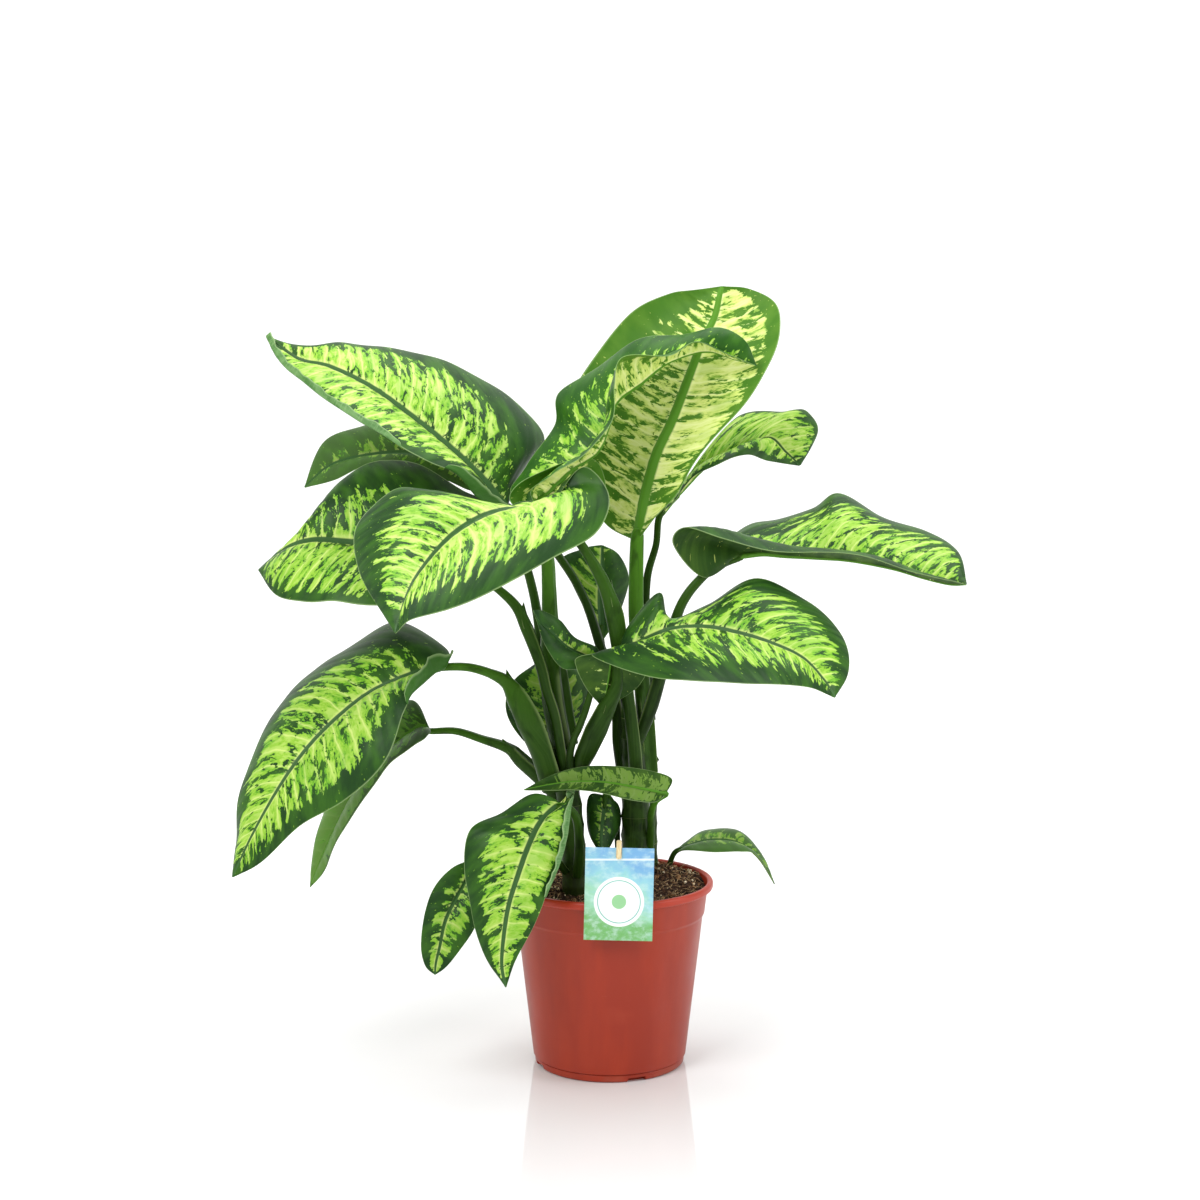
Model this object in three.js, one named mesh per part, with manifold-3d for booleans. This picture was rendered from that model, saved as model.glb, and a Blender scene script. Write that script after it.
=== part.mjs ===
// Potted dieffenbachia: a variegated plant of three canes in a tapered plastic nursery pot, with a hang tag.
// Millimetres, +Z up, front towards -Y, origin at the middle of the pot's underside.
import * as THREE from 'three';
import { mergeVertices } from 'three/addons/utils/BufferGeometryUtils.js';
import Module from 'manifold-3d';

const wasm = await Module();
wasm.setup();

// Driving dimensions
const POT_HEIGHT = 195;
const POT_RIM_RADIUS = 105;
const POT_FOOT_RADIUS = 78;
const POT_WALL = 1.8;
const POT_OVAL = 0.03;
const POT_SIDES = 40;
const PAD_RADIUS = 34;
const FOOT_HOLLOW = 3;
const FLOOR_CORNER = 12;
const WALL_FOOT = 9.5;
const WALL_TOP = 158;
const LIP_HEIGHT = 9;
const NOTCH_COUNT = 4;
const NOTCH_WIDTH = 20;
const NOTCH_REACH = 14;
const NOTCH_HEIGHT = 4.5;
const NOTCH_TURN = 21;
const SOIL_TOP = 184;
const SOIL_LUMP = 2.2;
const HEAP_HEIGHT = 12;
const HEAP_SPREAD = 36;
const HEAP_PLACE = new THREE.Vector2(56, 26);
const BLADE_THICKNESS = 1.0;
const BLADE_ARCH = 0.12;
const RIB_DEPTH = 3.2;
const END_INSET = 0.12;
const SMALL_STATIONS = [0, 0.15, 0.6, 1];
const LARGE_STATIONS = [0, 0.1, 0.42, 0.74, 1];
const STALK_UNDER = 0.9;
const TAG_WIDTH = 69;
const TAG_HEIGHT = 94;
const TAG_THICKNESS = 0.8;
const TAG_LEAN = THREE.MathUtils.degToRad(4);
const TAG_SKEW = THREE.MathUtils.degToRad(1.3);
const TAG_PLACE = new THREE.Vector3(9, -101.8, 205);
const PEG_WIDTH = 5.4;
const PEG_LENGTH = 18;
const PEG_JAW = 1.9;
const PEG_SLOT_BACK = 4.9;
const PEG_ABOVE_CARD = 7;
const PEG_ACROSS = -1;
const STAKE_RADIUS = 1.1;
const STAKE_FOOT = new THREE.Vector3(8, -88.6, 144);
const STAKE_TOP = new THREE.Vector3(8, -96.6, 250.5);
const CANE_SIDES = 10;
const CANE_STEPS = 12;
const STALK_SIDES = 6;
const STALK_STEPS = 9;
const GAP = 0.35;

// Where the plant is looked at from: leaf points are told as seen from here, with their own depth
const EYE = new THREE.Vector3(-10, -2541, 850);
const EYE_TILT = THREE.MathUtils.degToRad(8.1);
const EYE_FOCAL = 2500;
const EYE_MIDDLE = 600;

const LEAF_GREEN = 0x4f8a34;
const CANE_GREEN = 0x44682c;
const TERRACOTTA = 0xac4430;
const PEAT = 0x33241a;
const CARD_BLUE = 0x8fc4c9;
const PALE_WOOD = 0xe6dcb8;

// Each cane: points from its root in the soil to its top, as [across, down, depth, radius]
const CANES = {
  cane_left: [
    [576, 935, -20, 13], [575, 890, -20, 13], [573, 845, -17, 13], [569, 800, -14, 13],
    [563, 760, -12, 12], [556, 722, -10, 10], [552, 700, -8, 7],
  ],
  cane_right: [
    [640, 935, 6, 16], [638, 890, 6, 16], [637, 845, 6, 16], [636, 800, 6, 15],
    [634, 765, 5, 13], [630, 725, 4, 9], [628, 700, 3, 6],
  ],
  cane_right_back: [
    [649, 930, 62, 10], [649, 885, 58, 10], [648, 840, 52, 10], [647, 785, 42, 10.5],
    [646, 745, 36, 9], [645, 715, 30, 7],
  ],
};

// Each leaf: rows across the blade from base to tip, each [left edge, rib, right edge] as
// [across, down, depth], and its stalk from root to blade as [across, down, depth, radius]
const LEAVES = {
  leaf_upper_left: {
    base: [506, 509, 5],
    rows: [
      [[484, 503, -18], [497, 499, 6], [519, 478, 65]],
      [[455, 474, -33], [478, 477, 10], [543, 438, 105]],
      [[424, 459, -40], [450, 450, 18], [508, 395, 118]],
      [[385, 437, -34], [414, 420, 30], [450, 364, 116]],
      [[345, 412, -14], [372, 389, 43], [392, 348, 110]],
      [[306, 384, 20], [330, 368, 58], [344, 343, 98]],
      [[281, 363, 52], [298, 360, 71], [303, 346, 84]],
    ],
    tip: [266, 336, 80],
    petiole: [
      [563, 780, -5, 6.5], [554, 720, 11, 6], [545, 670, 15, 6], [535, 600, 16, 5], [520, 545, 12, 4.5],
      [506, 509, 5, 4],
    ],
  },
  leaf_upper_left_behind: {
    base: [482, 492, 60],
    rows: [
      [[468, 490, 58], [470, 482, 64], [478, 470, 84]],
      [[440, 478, 76], [445, 465, 84], [450, 440, 122]],
      [[405, 472, 96], [410, 453, 106], [415, 420, 146]],
      [[365, 466, 108], [365, 456, 126], [372, 423, 162]],
      [[335, 480, 126], [330, 466, 142], [325, 441, 160]],
    ],
    tip: [304, 488, 150],
    petiole: [
      [624, 772, 10, 8], [620, 742, 14, 8], [617, 702, 20, 7], [601, 648, 30, 5.4], [585, 600, 38, 4.8],
      [563, 562, 46, 4.5], [528, 520, 56, 4], [482, 492, 60, 3.5],
    ],
  },
  leaf_mid_left: {
    base: [470, 570, -20],
    rows: [
      [[455, 590, -50], [455, 562, -18], [497, 512, 30]],
      [[420, 604, -70], [425, 554, -12], [462, 490, 55]],
      [[372, 606, -80], [385, 548, -5], [415, 464, 65]],
      [[335, 601, -75], [345, 543, 0], [375, 461, 60]],
      [[305, 602, -60], [312, 541, 5], [340, 482, 45]],
      [[276, 595, -35], [285, 549, 8], [300, 535, 30]],
    ],
    tip: [258, 570, 10],
    petiole: [
      [564, 770, -22, 5.5], [561, 748, -34, 5.5], [555, 715, -39, 6], [547, 690, -40, 6],
      [541, 665, -39, 6.2], [527, 628, -37, 7], [516, 606, -35, 5.5], [497, 588, -30, 4.5],
      [470, 570, -20, 4],
    ],
  },
  leaf_front_left: {
    base: [551, 507, -45],
    rows: [
      [[583, 467, -30], [543, 507, -50], [525, 502, -40]],
      [[609, 495, -48], [525, 508, -56], [500, 510, -45]],
      [[597, 532, -84], [505, 510, -66], [470, 503, -48]],
      [[550, 560, -126], [480, 518, -84], [430, 491, -48]],
      [[499, 588, -170], [452, 536, -108], [392, 491, -56]],
      [[450, 609, -206], [428, 562, -140], [357, 525, -84]],
      [[412, 620, -222], [410, 590, -178], [360, 572, -134]],
    ],
    tip: [395, 634, -228],
    petiole: [
      [636, 790, -5, 7], [634, 750, -20, 6.5], [628, 700, -29, 6], [620, 652, -38, 8], [614, 615, -44, 9],
      [605, 586, -48, 7], [590, 558, -49, 5.4], [570, 529, -48, 4.4], [551, 507, -45, 4],
    ],
  },
  leaf_folded_top: {
    base: [536, 507, -10],
    rows: [
      [[511, 492, 12], [548, 492, -4], [532, 490, -28]],
      [[526, 465, 28], [570, 470, 2], [553, 473, -36]],
      [[555, 425, 48], [597, 452, 6], [583, 456, -40]],
      [[560, 392, 62], [608, 428, 10], [611, 424, -40]],
      [[599, 366, 66], [617, 402, 14], [614, 385, -40]],
      [[635, 341, 62], [641, 384, 20], [622, 358, -35]],
      [[680, 335, 54], [668, 363, 26], [668, 356, -15]],
      [[720, 327, 44], [705, 352, 30], [697, 341, 8]],
      [[744, 340, 38], [735, 360, 32], [728, 355, 24]],
    ],
    tip: [757, 366, 36],
    petiole: [
      [565, 747, -12, 12.5], [561, 728, -12, 14], [556, 700, -12, 14.5], [552, 655, -13, 12],
      [550, 615, -14, 8.5], [549, 585, -14, 7.5], [547, 555, -14, 7], [536, 507, -10, 5],
    ],
  },
  leaf_top: {
    base: [637, 542, 30],
    rows: [
      [[652, 522, 15], [640, 525, 32], [603, 521, 60]],
      [[678, 490, 10], [645, 495, 36], [586, 470, 80]],
      [[700, 455, 15], [656, 455, 42], [575, 430, 95]],
      [[733, 418, 25], [672, 420, 50], [572, 395, 105]],
      [[762, 377, 40], [688, 378, 60], [598, 352, 112]],
      [[780, 335, 60], [702, 342, 72], [632, 312, 115]],
      [[776, 304, 85], [714, 318, 85], [668, 294, 112]],
      [[750, 289, 102], [719, 298, 96], [695, 290, 105]],
    ],
    tip: [722, 286, 104],
    petiole: [
      [648, 772, 15, 9], [645, 720, 18, 8.5], [639, 650, 24, 8], [636, 610, 28, 7.8], [637, 542, 30, 7],
    ],
  },
  leaf_right_curled: {
    base: [660, 515, 70],
    rows: [
      [[700, 470, 112], [680, 492, 86], [676, 500, 64]],
      [[735, 417, 152], [712, 462, 108], [690, 479, 74]],
      [[784, 412, 184], [745, 447, 130], [715, 466, 90]],
      [[808, 412, 190], [769, 438, 146], [745, 455, 106]],
      [[818, 432, 184], [785, 452, 156], [768, 461, 134]],
    ],
    tip: [800, 466, 160],
    petiole: [
      [650, 720, 35, 6], [645, 640, 45, 5], [647, 580, 55, 4], [656, 545, 63, 3.5], [660, 515, 70, 3.5],
    ],
  },
  leaf_right_upper: {
    base: [738, 558, 0],
    rows: [
      [[728, 545, 30], [743, 556, 0], [703, 577, -15]],
      [[735, 533, 50], [750, 555, 0], [673, 545, -28]],
      [[752, 525, 64], [765, 554, 0], [684, 529, -38]],
      [[778, 519, 72], [785, 556, -2], [722, 538, -45]],
      [[812, 508, 72], [815, 558, -8], [768, 550, -54]],
      [[838, 493, 68], [850, 561, -18], [820, 552, -62]],
      [[880, 517, 54], [892, 569, -32], [868, 558, -70]],
      [[925, 531, 26], [925, 579, -46], [912, 572, -74]],
      [[958, 550, -14], [950, 585, -60], [943, 578, -76]],
    ],
    tip: [967, 585, -70],
    petiole: [
      [637, 742, 2, 6.5], [651, 705, -4, 8], [664, 660, -8, 7.2], [680, 607, -6, 5.5], [701, 578, -4, 5],
      [720, 565, -2, 4.5], [738, 558, 0, 4],
    ],
  },
  leaf_right_front: {
    base: [618, 658, -58],
    rows: [
      [[628, 628, -44], [634, 647, -62], [592, 656, -66]],
      [[659, 593, -32], [655, 636, -65], [622, 669, -90]],
      [[672, 619, -34], [677, 628, -71], [657, 678, -116]],
      [[708, 605, -34], [705, 627, -81], [690, 681, -135]],
      [[757, 579, -42], [737, 633, -96], [727, 683, -149]],
      [[807, 600, -62], [770, 643, -114], [765, 684, -160]],
      [[841, 634, -94], [802, 658, -134], [798, 686, -166]],
      [[848, 672, -136], [824, 681, -154], [819, 691, -168]],
    ],
    tip: [835, 698, -172],
    petiole: [
      [578, 771, -20, 7.5], [587, 752, -37, 9.5], [597, 730, -46, 10.5], [608, 706, -54, 8.5],
      [617, 684, -57, 6], [618, 658, -58, 4.5],
    ],
  },
  leaf_centre_small: {
    base: [598, 664, -42],
    rows: [
      [[582, 668, -58], [585, 656, -46], [597, 648, -40]],
      [[562, 668, -66], [567, 647, -54], [575, 637, -46]],
      [[545, 645, -72], [552, 633, -62], [560, 620, -54]],
      [[537, 622, -70], [540, 622, -68], [543, 611, -66]],
    ],
    tip: [533, 610, -72],
    petiole: [
      [570, 795, -26, 3.5], [570, 768, -33, 3.5], [572, 745, -42, 3.5], [584, 715, -50, 3.5],
      [592, 688, -50, 3.3], [598, 664, -42, 3],
    ],
  },
  leaf_low_left: {
    base: [444, 667, -40],
    rows: [
      [[434, 675, -62], [433, 669, -44], [446, 650, -14]],
      [[412, 694, -94], [408, 676, -50], [395, 622, 32]],
      [[404, 712, -110], [370, 693, -58], [337, 655, 35]],
      [[385, 762, -125], [335, 720, -70], [300, 683, 20]],
      [[345, 800, -125], [306, 750, -82], [270, 718, -10]],
      [[300, 826, -120], [281, 785, -95], [242, 788, -60]],
      [[262, 862, -115], [255, 830, -108], [235, 845, -90]],
    ],
    tip: [232, 878, -118],
    petiole: [
      [553, 788, -24, 12], [542, 752, -34, 12], [530, 722, -42, 14], [518, 698, -42, 12],
      [507, 682, -41, 7.5], [490, 673, -40, 5.2], [468, 667, -40, 4.6], [444, 667, -40, 4.2],
    ],
  },
  leaf_low_left_behind: {
    base: [431, 731, 30],
    rows: [
      [[428, 735, 4], [420, 728, 36], [412, 700, 62]],
      [[413, 746, -6], [400, 742, 44], [380, 715, 84]],
      [[391, 764, 0], [378, 765, 54], [350, 745, 98]],
      [[367, 794, 16], [355, 793, 66], [330, 785, 102]],
      [[341, 834, 44], [336, 828, 76], [322, 818, 98]],
      [[325, 870, 70], [320, 862, 82], [312, 860, 92]],
    ],
    tip: [310, 888, 86],
    petiole: [
      [562, 802, -3, 8], [548, 785, 3, 8], [522, 761, 10, 8], [508, 748, 14, 6], [482, 739, 20, 4.5],
      [456, 731, 26, 4], [431, 731, 30, 3.5],
    ],
  },
  leaf_pot_front: {
    base: [565, 806, -75],
    rows: [
      [[574, 788, -60], [556, 808, -82], [533, 793, -70]],
      [[569, 812, -85], [540, 824, -95], [500, 815, -85]],
      [[565, 840, -105], [528, 848, -110], [470, 830, -102]],
      [[557, 868, -118], [518, 876, -124], [464, 870, -114]],
      [[546, 895, -130], [509, 905, -136], [471, 908, -126]],
      [[533, 927, -142], [504, 935, -147], [480, 943, -139]],
      [[517, 957, -154], [502, 965, -157], [492, 968, -153]],
    ],
    tip: [506, 988, -166],
    petiole: [[577, 876, -32, 5], [579, 845, -46, 4.6], [576, 818, -62, 4.2], [565, 806, -75, 4]],
  },
  leaf_pot_left: {
    base: [475, 858, -70],
    rows: [
      [[480, 878, -75], [465, 882, -76], [452, 868, -78]],
      [[483, 905, -85], [455, 900, -82], [434, 888, -82]],
      [[474, 930, -92], [445, 922, -90], [424, 915, -88]],
      [[460, 950, -98], [440, 946, -96], [421, 945, -94]],
      [[447, 966, -102], [436, 963, -101], [425, 965, -100]],
    ],
    tip: [435, 975, -104],
    petiole: [[566, 872, -30, 4], [545, 848, -45, 3.5], [510, 842, -60, 3], [475, 858, -70, 3]],
  },
  leaf_crossing: {
    base: [666, 794, -34],
    rows: [
      [[672, 779, -30], [655, 792, -42], [656, 802, -52]],
      [[652, 771, -32], [635, 788, -50], [635, 801, -66]],
      [[615, 766, -36], [605, 783, -54], [605, 793, -72]],
      [[580, 767, -42], [575, 782, -58], [573, 790, -72]],
      [[550, 776, -48], [548, 785, -58], [548, 791, -66]],
    ],
    tip: [523, 790, -62],
    petiole: [
      [650, 850, 0, 4], [651, 832, -9, 3.8], [651, 814, -20, 3.5], [656, 801, -31, 3.2],
      [666, 794, -34, 3],
    ],
  },
  leaf_hanging_small: {
    base: [606, 795, -5],
    rows: [
      [[618, 805, 5], [604, 808, -10], [590, 795, -5]],
      [[620, 825, 5], [602, 826, -18], [587, 815, -5]],
      [[612, 842, -5], [601, 842, -24], [590, 835, -12]],
    ],
    tip: [603, 858, -25],
    petiole: [[624, 880, 8, 3.5], [618, 850, 14, 3], [616, 812, 9, 3], [606, 795, -5, 3]],
  },
  leaf_soil_right: {
    base: [675, 852, 60],
    rows: [
      [[684, 843, 76], [690, 845, 62], [690, 850, 46]],
      [[705, 830, 96], [713, 840, 70], [712, 852, 46]],
      [[738, 831, 102], [738, 843, 78], [740, 852, 56]],
      [[762, 855, 98], [758, 858, 80], [757, 856, 68]],
    ],
    tip: [775, 885, 84],
    petiole: [[658, 905, 66, 3.5], [662, 885, 66, 3.4], [668, 868, 64, 3.2], [675, 852, 60, 3]],
  },
  leaf_centre_behind: {
    base: [562, 756, 50],
    rows: [
      [[532, 748, 30], [555, 745, 46], [575, 742, 64]],
      [[510, 722, 26], [549, 718, 44], [586, 715, 74]],
      [[506, 698, 28], [545, 693, 44], [588, 692, 78]],
      [[518, 675, 38], [543, 672, 48], [577, 668, 74]],
    ],
    tip: [548, 656, 60],
    petiole: [[572, 815, -5, 4.5], [570, 785, 24, 4], [562, 756, 50, 3]],
  },
  leaf_middle_behind: {
    base: [602, 642, 90],
    rows: [
      [[588, 615, 90], [601, 622, 90], [612, 625, 95]],
      [[572, 585, 95], [600, 595, 94], [624, 603, 108]],
      [[561, 560, 100], [602, 572, 98], [629, 578, 115]],
      [[582, 549, 102], [602, 556, 104], [620, 556, 114]],
    ],
    tip: [602, 545, 108],
    petiole: [
      [654, 762, 42, 5], [640, 735, 62, 4], [618, 700, 80, 3.5], [606, 672, 88, 3], [602, 642, 90, 3],
    ],
  },
};

// A point seen at (across, down) from the eye, at its own depth along Y
function seen([across, down, depth]) {
  const ahead = new THREE.Vector3(0, Math.cos(EYE_TILT), -Math.sin(EYE_TILT));
  const up = new THREE.Vector3(0, Math.sin(EYE_TILT), Math.cos(EYE_TILT));
  const sight = ahead.addScaledVector(up, -(down - EYE_MIDDLE) / EYE_FOCAL);
  sight.x += (across - EYE_MIDDLE) / EYE_FOCAL;
  return EYE.clone().addScaledVector(sight, (depth - EYE.y) / sight.y);
}

function through(points) {
  return new THREE.CatmullRomCurve3(points, false, 'catmullrom', 0.5);
}

// Closed geometry from rings of vertices, each ring with the same count, capped at both ends
function skin(rings) {
  const sides = rings[0].length;
  const vertices = rings.flat();
  const triangles = [];
  for (let row = 0; row < rings.length - 1; row += 1) {
    for (let side = 0; side < sides; side += 1) {
      const next = (side + 1) % sides;
      const a = row * sides + side;
      const b = row * sides + next;
      triangles.push([a, b, a + sides], [b, b + sides, a + sides]);
    }
  }
  for (const [row, flip] of [[0, true], [rings.length - 1, false]]) {
    const centre = vertices.length;
    const middle = new THREE.Vector3();
    rings[row].forEach((v) => middle.add(v));
    vertices.push(middle.divideScalar(sides));
    for (let side = 0; side < sides; side += 1) {
      const a = row * sides + side;
      const b = row * sides + ((side + 1) % sides);
      triangles.push(flip ? [centre, b, a] : [centre, a, b]);
    }
  }
  return geometryOf(vertices, triangles);
}

function geometryOf(vertices, triangles) {
  const geometry = new THREE.BufferGeometry().setFromPoints(vertices);
  geometry.setIndex(triangles.flat());
  return geometry;
}

// A geometry as a solid that can be joined and cut
function solid(geometry) {
  const bare = geometry.clone();
  bare.deleteAttribute('normal');
  bare.deleteAttribute('uv');
  const merged = mergeVertices(bare, 1e-4);
  return new wasm.Manifold(new wasm.Mesh({
    numProp: 3,
    vertProperties: new Float32Array(merged.attributes.position.array),
    triVerts: new Uint32Array(merged.index.array),
  }));
}

function geometryFrom(body) {
  const mesh = body.getMesh();
  const geometry = new THREE.BufferGeometry();
  geometry.setAttribute('position', new THREE.BufferAttribute(new Float32Array(mesh.vertProperties), 3));
  geometry.setIndex(Array.from(mesh.triVerts));
  return geometry;
}

// The largest body of a cut solid, so that a loose scrap is dropped
function largest(body) {
  const bodies = body.decompose();
  return bodies.reduce((best, each) => (each.volume() > best.volume() ? each : best));
}

// A round tube through points, each with its radius, made fatter and longer by `grow`
function tube(points, radii, sides, steps, grow = 0) {
  const curve = through(points);
  const frames = curve.computeFrenetFrames(steps, false);
  const rings = [];
  for (let step = 0; step <= steps; step += 1) {
    const t = curve.getUtoTmapping(step / steps);
    const knot = Math.min(t * (points.length - 1), points.length - 1.0001);
    const index = Math.floor(knot);
    const radius = THREE.MathUtils.lerp(radii[index], radii[index + 1], knot - index) + grow;
    const centre = curve.getPoint(t);
    const end = (step === steps ? 1 : 0) - (step === 0 ? 1 : 0);
    centre.addScaledVector(frames.tangents[step], end * grow);
    const ring = [];
    for (let side = 0; side < sides; side += 1) {
      const angle = (side / sides) * 2 * Math.PI;
      ring.push(centre.clone()
        .addScaledVector(frames.normals[step], Math.cos(angle) * radius)
        .addScaledVector(frames.binormals[step], Math.sin(angle) * radius));
    }
    rings.push(ring);
  }
  return skin(rings);
}

// A stem or stalk through [across, down, depth, radius] points
function stemGeometry(points, sides, steps, grow = 0) {
  return tube(points.map(seen), points.map((point) => point[3]), sides, steps, grow);
}

// The blade's middle surface: a row of points from the left edge over the rib to the right edge at each step
function bladeRows(leaf, steps, stations) {
  const rows = [[leaf.base, leaf.base, leaf.base], ...leaf.rows, [leaf.tip, leaf.tip, leaf.tip]];
  const [left, rib, right] = [0, 1, 2].map((k) => through(rows.map((row) => seen(row[k]))));
  const inset = END_INSET / (rows.length - 1);
  const grid = [];
  for (let step = 0; step <= steps; step += 1) {
    const t = inset + (1 - 2 * inset) * (step / steps);
    const middle = rib.getPoint(t);
    const ahead = rib.getTangent(t);
    const row = [];
    for (const [edge, sign] of [[left, -1], [right, 1]]) {
      const reach = edge.getPoint(t).sub(middle);
      const up = reach.clone().multiplyScalar(sign).cross(ahead).normalize();
      const half = stations.map((s) => middle.clone()
        .addScaledVector(reach, s)
        .addScaledVector(up, reach.length() * BLADE_ARCH * 4 * s * (1 - s)));
      row.push(...(sign < 0 ? half.reverse() : half.slice(1)));
    }
    grid.push(row);
  }
  return grid;
}

// Upper-side normals of a grid of points
function gridNormals(grid) {
  const last = grid.length - 1;
  const edge = grid[0].length - 1;
  return grid.map((row, i) => row.map((point, j) => {
    const along = grid[Math.min(i + 1, last)][j].clone().sub(grid[Math.max(i - 1, 0)][j]);
    const across = row[Math.min(j + 1, edge)].clone().sub(row[Math.max(j - 1, 0)]);
    return across.cross(along).normalize();
  }));
}

// A blade as a thin closed solid with its rib raised underneath, split alike on both faces
function bladeGeometry(leaf) {
  const steps = Math.max(8, Math.round(1.5 * (leaf.rows.length + 1)));
  const small = leaf.rows.length < 6;
  const stations = small ? SMALL_STATIONS : LARGE_STATIONS;
  const ribDepth = small ? RIB_DEPTH / 2 : RIB_DEPTH;
  const grid = bladeRows(leaf, steps, stations);
  const normals = gridNormals(grid);
  const columns = grid[0].length;
  const ribColumn = (columns - 1) / 2;
  const rings = grid.map((row, i) => {
    const upper = row.map((p, j) => p.clone().addScaledVector(normals[i][j], BLADE_THICKNESS / 2));
    const lower = row.map((p, j) => {
      const ridge = j === ribColumn ? ribDepth * (1 - i / steps) : 0;
      return p.clone().addScaledVector(normals[i][j], -BLADE_THICKNESS / 2 - ridge);
    });
    return { upper, lower };
  });
  return sheetGeometry(rings, columns);
}

// Closes two matching sheets of vertices round their rim
function sheetGeometry(rings, columns) {
  const vertices = [];
  rings.forEach(({ upper, lower }) => vertices.push(...upper, ...lower));
  const at = (row, column, side) => (row * 2 + side) * columns + column;
  const triangles = [];
  const quad = (a, b, c, d) => triangles.push([a, b, c], [a, c, d]);
  const lastRow = rings.length - 1;
  const lastColumn = columns - 1;
  for (let i = 0; i < lastRow; i += 1) {
    for (let j = 0; j < lastColumn; j += 1) {
      quad(at(i, j, 0), at(i, j + 1, 0), at(i + 1, j + 1, 0), at(i + 1, j, 0));
      triangles.push([at(i, j, 1), at(i + 1, j + 1, 1), at(i, j + 1, 1)]);
      triangles.push([at(i, j, 1), at(i + 1, j, 1), at(i + 1, j + 1, 1)]);
    }
    quad(at(i, 0, 0), at(i + 1, 0, 0), at(i + 1, 0, 1), at(i, 0, 1));
    quad(at(i, lastColumn, 1), at(i + 1, lastColumn, 1), at(i + 1, lastColumn, 0), at(i, lastColumn, 0));
  }
  for (let j = 0; j < lastColumn; j += 1) {
    quad(at(0, j, 1), at(0, j + 1, 1), at(0, j + 1, 0), at(0, j, 0));
    quad(at(lastRow, j, 0), at(lastRow, j + 1, 0), at(lastRow, j + 1, 1), at(lastRow, j, 1));
  }
  return geometryOf(vertices, triangles);
}

// A stalk that runs on a little under the blade along its rib, so that both are one piece
function stalkPoints(leaf) {
  const [across, down, depth] = leaf.base;
  const [nextAcross, nextDown, nextDepth] = leaf.rows[0][1];
  const radius = leaf.petiole.at(-1)[3];
  const under = [
    across + (nextAcross - across) * STALK_UNDER,
    down + (nextDown - down) * STALK_UNDER + radius * 0.4,
    depth + (nextDepth - depth) * STALK_UNDER,
    radius * 0.7,
  ];
  return [...leaf.petiole, under];
}

function leafBody(leaf, canes) {
  let stalk = solid(stemGeometry(stalkPoints(leaf), STALK_SIDES, STALK_STEPS));
  canes.forEach((cane) => {
    stalk = largest(stalk.subtract(cane));
  });
  return solid(bladeGeometry(leaf)).add(stalk);
}

// The pot is sprung slightly oval, more so towards its rim
function springOval(geometry) {
  const place = geometry.attributes.position;
  for (let i = 0; i < place.count; i += 1) {
    const share = POT_OVAL * (place.getZ(i) / POT_HEIGHT) ** 2;
    place.setX(i, place.getX(i) * (1 + share));
    place.setY(i, place.getY(i) * (1 - share));
  }
  return geometry;
}

// A profile of [radius, height] points turned about Z
function turned(profile) {
  const points = profile.map(([radius, height]) => new THREE.Vector2(radius, height));
  const geometry = new THREE.LatheGeometry(points, POT_SIDES);
  geometry.rotateX(Math.PI / 2);
  return geometry;
}

// The pot's radius outside its plain wall at a height
function wallRadius(height) {
  return THREE.MathUtils.mapLinear(height, WALL_FOOT, WALL_TOP, POT_FOOT_RADIUS + 2, POT_RIM_RADIUS - 9.5);
}

// Outside from the foot's middle up to the rim: pad, hollow, foot ring, groove, wall, collar and rolled lip
function potBody() {
  const lip = POT_HEIGHT - LIP_HEIGHT;
  const [rim, foot] = [POT_RIM_RADIUS, POT_FOOT_RADIUS];
  const outside = [
    [0, 0], [PAD_RADIUS, 0], [PAD_RADIUS + 3, FOOT_HOLLOW], [foot - 12, FOOT_HOLLOW], [foot - 10, 0],
    [foot - 2, 0], [foot, 1.5], [foot + 0.5, 8], [wallRadius(WALL_FOOT), WALL_FOOT],
    [wallRadius(WALL_TOP), WALL_TOP], [rim - 7.9, WALL_TOP + 3], [rim - 5.5, lip], [rim - 1, lip + 0.8],
    [rim, lip + 2.6], [rim, POT_HEIGHT - 2.6], [rim - 1.2, POT_HEIGHT - 0.6], [rim - 3.5, POT_HEIGHT],
  ];
  const inside = [
    [rim - 6, POT_HEIGHT - 1.4], [rim - 7.2, lip], [wallRadius(WALL_TOP) - POT_WALL, WALL_TOP - 1],
    [wallRadius(FLOOR_CORNER) - POT_WALL, FLOOR_CORNER], [foot - 6, FOOT_HOLLOW + 2],
    [PAD_RADIUS + 4, FOOT_HOLLOW + 2], [PAD_RADIUS + 1, 2], [0, 2],
  ];
  let body = solid(springOval(turned([...outside, ...inside])));
  for (let notch = 0; notch < NOTCH_COUNT; notch += 1) {
    const cutter = new THREE.BoxGeometry(NOTCH_REACH, NOTCH_WIDTH, NOTCH_HEIGHT + 2);
    cutter.translate(foot, 0, NOTCH_HEIGHT / 2 - 1);
    cutter.rotateZ(THREE.MathUtils.degToRad(NOTCH_TURN) + (notch / NOTCH_COUNT) * 2 * Math.PI);
    body = body.subtract(solid(cutter));
  }
  return body;
}

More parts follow.
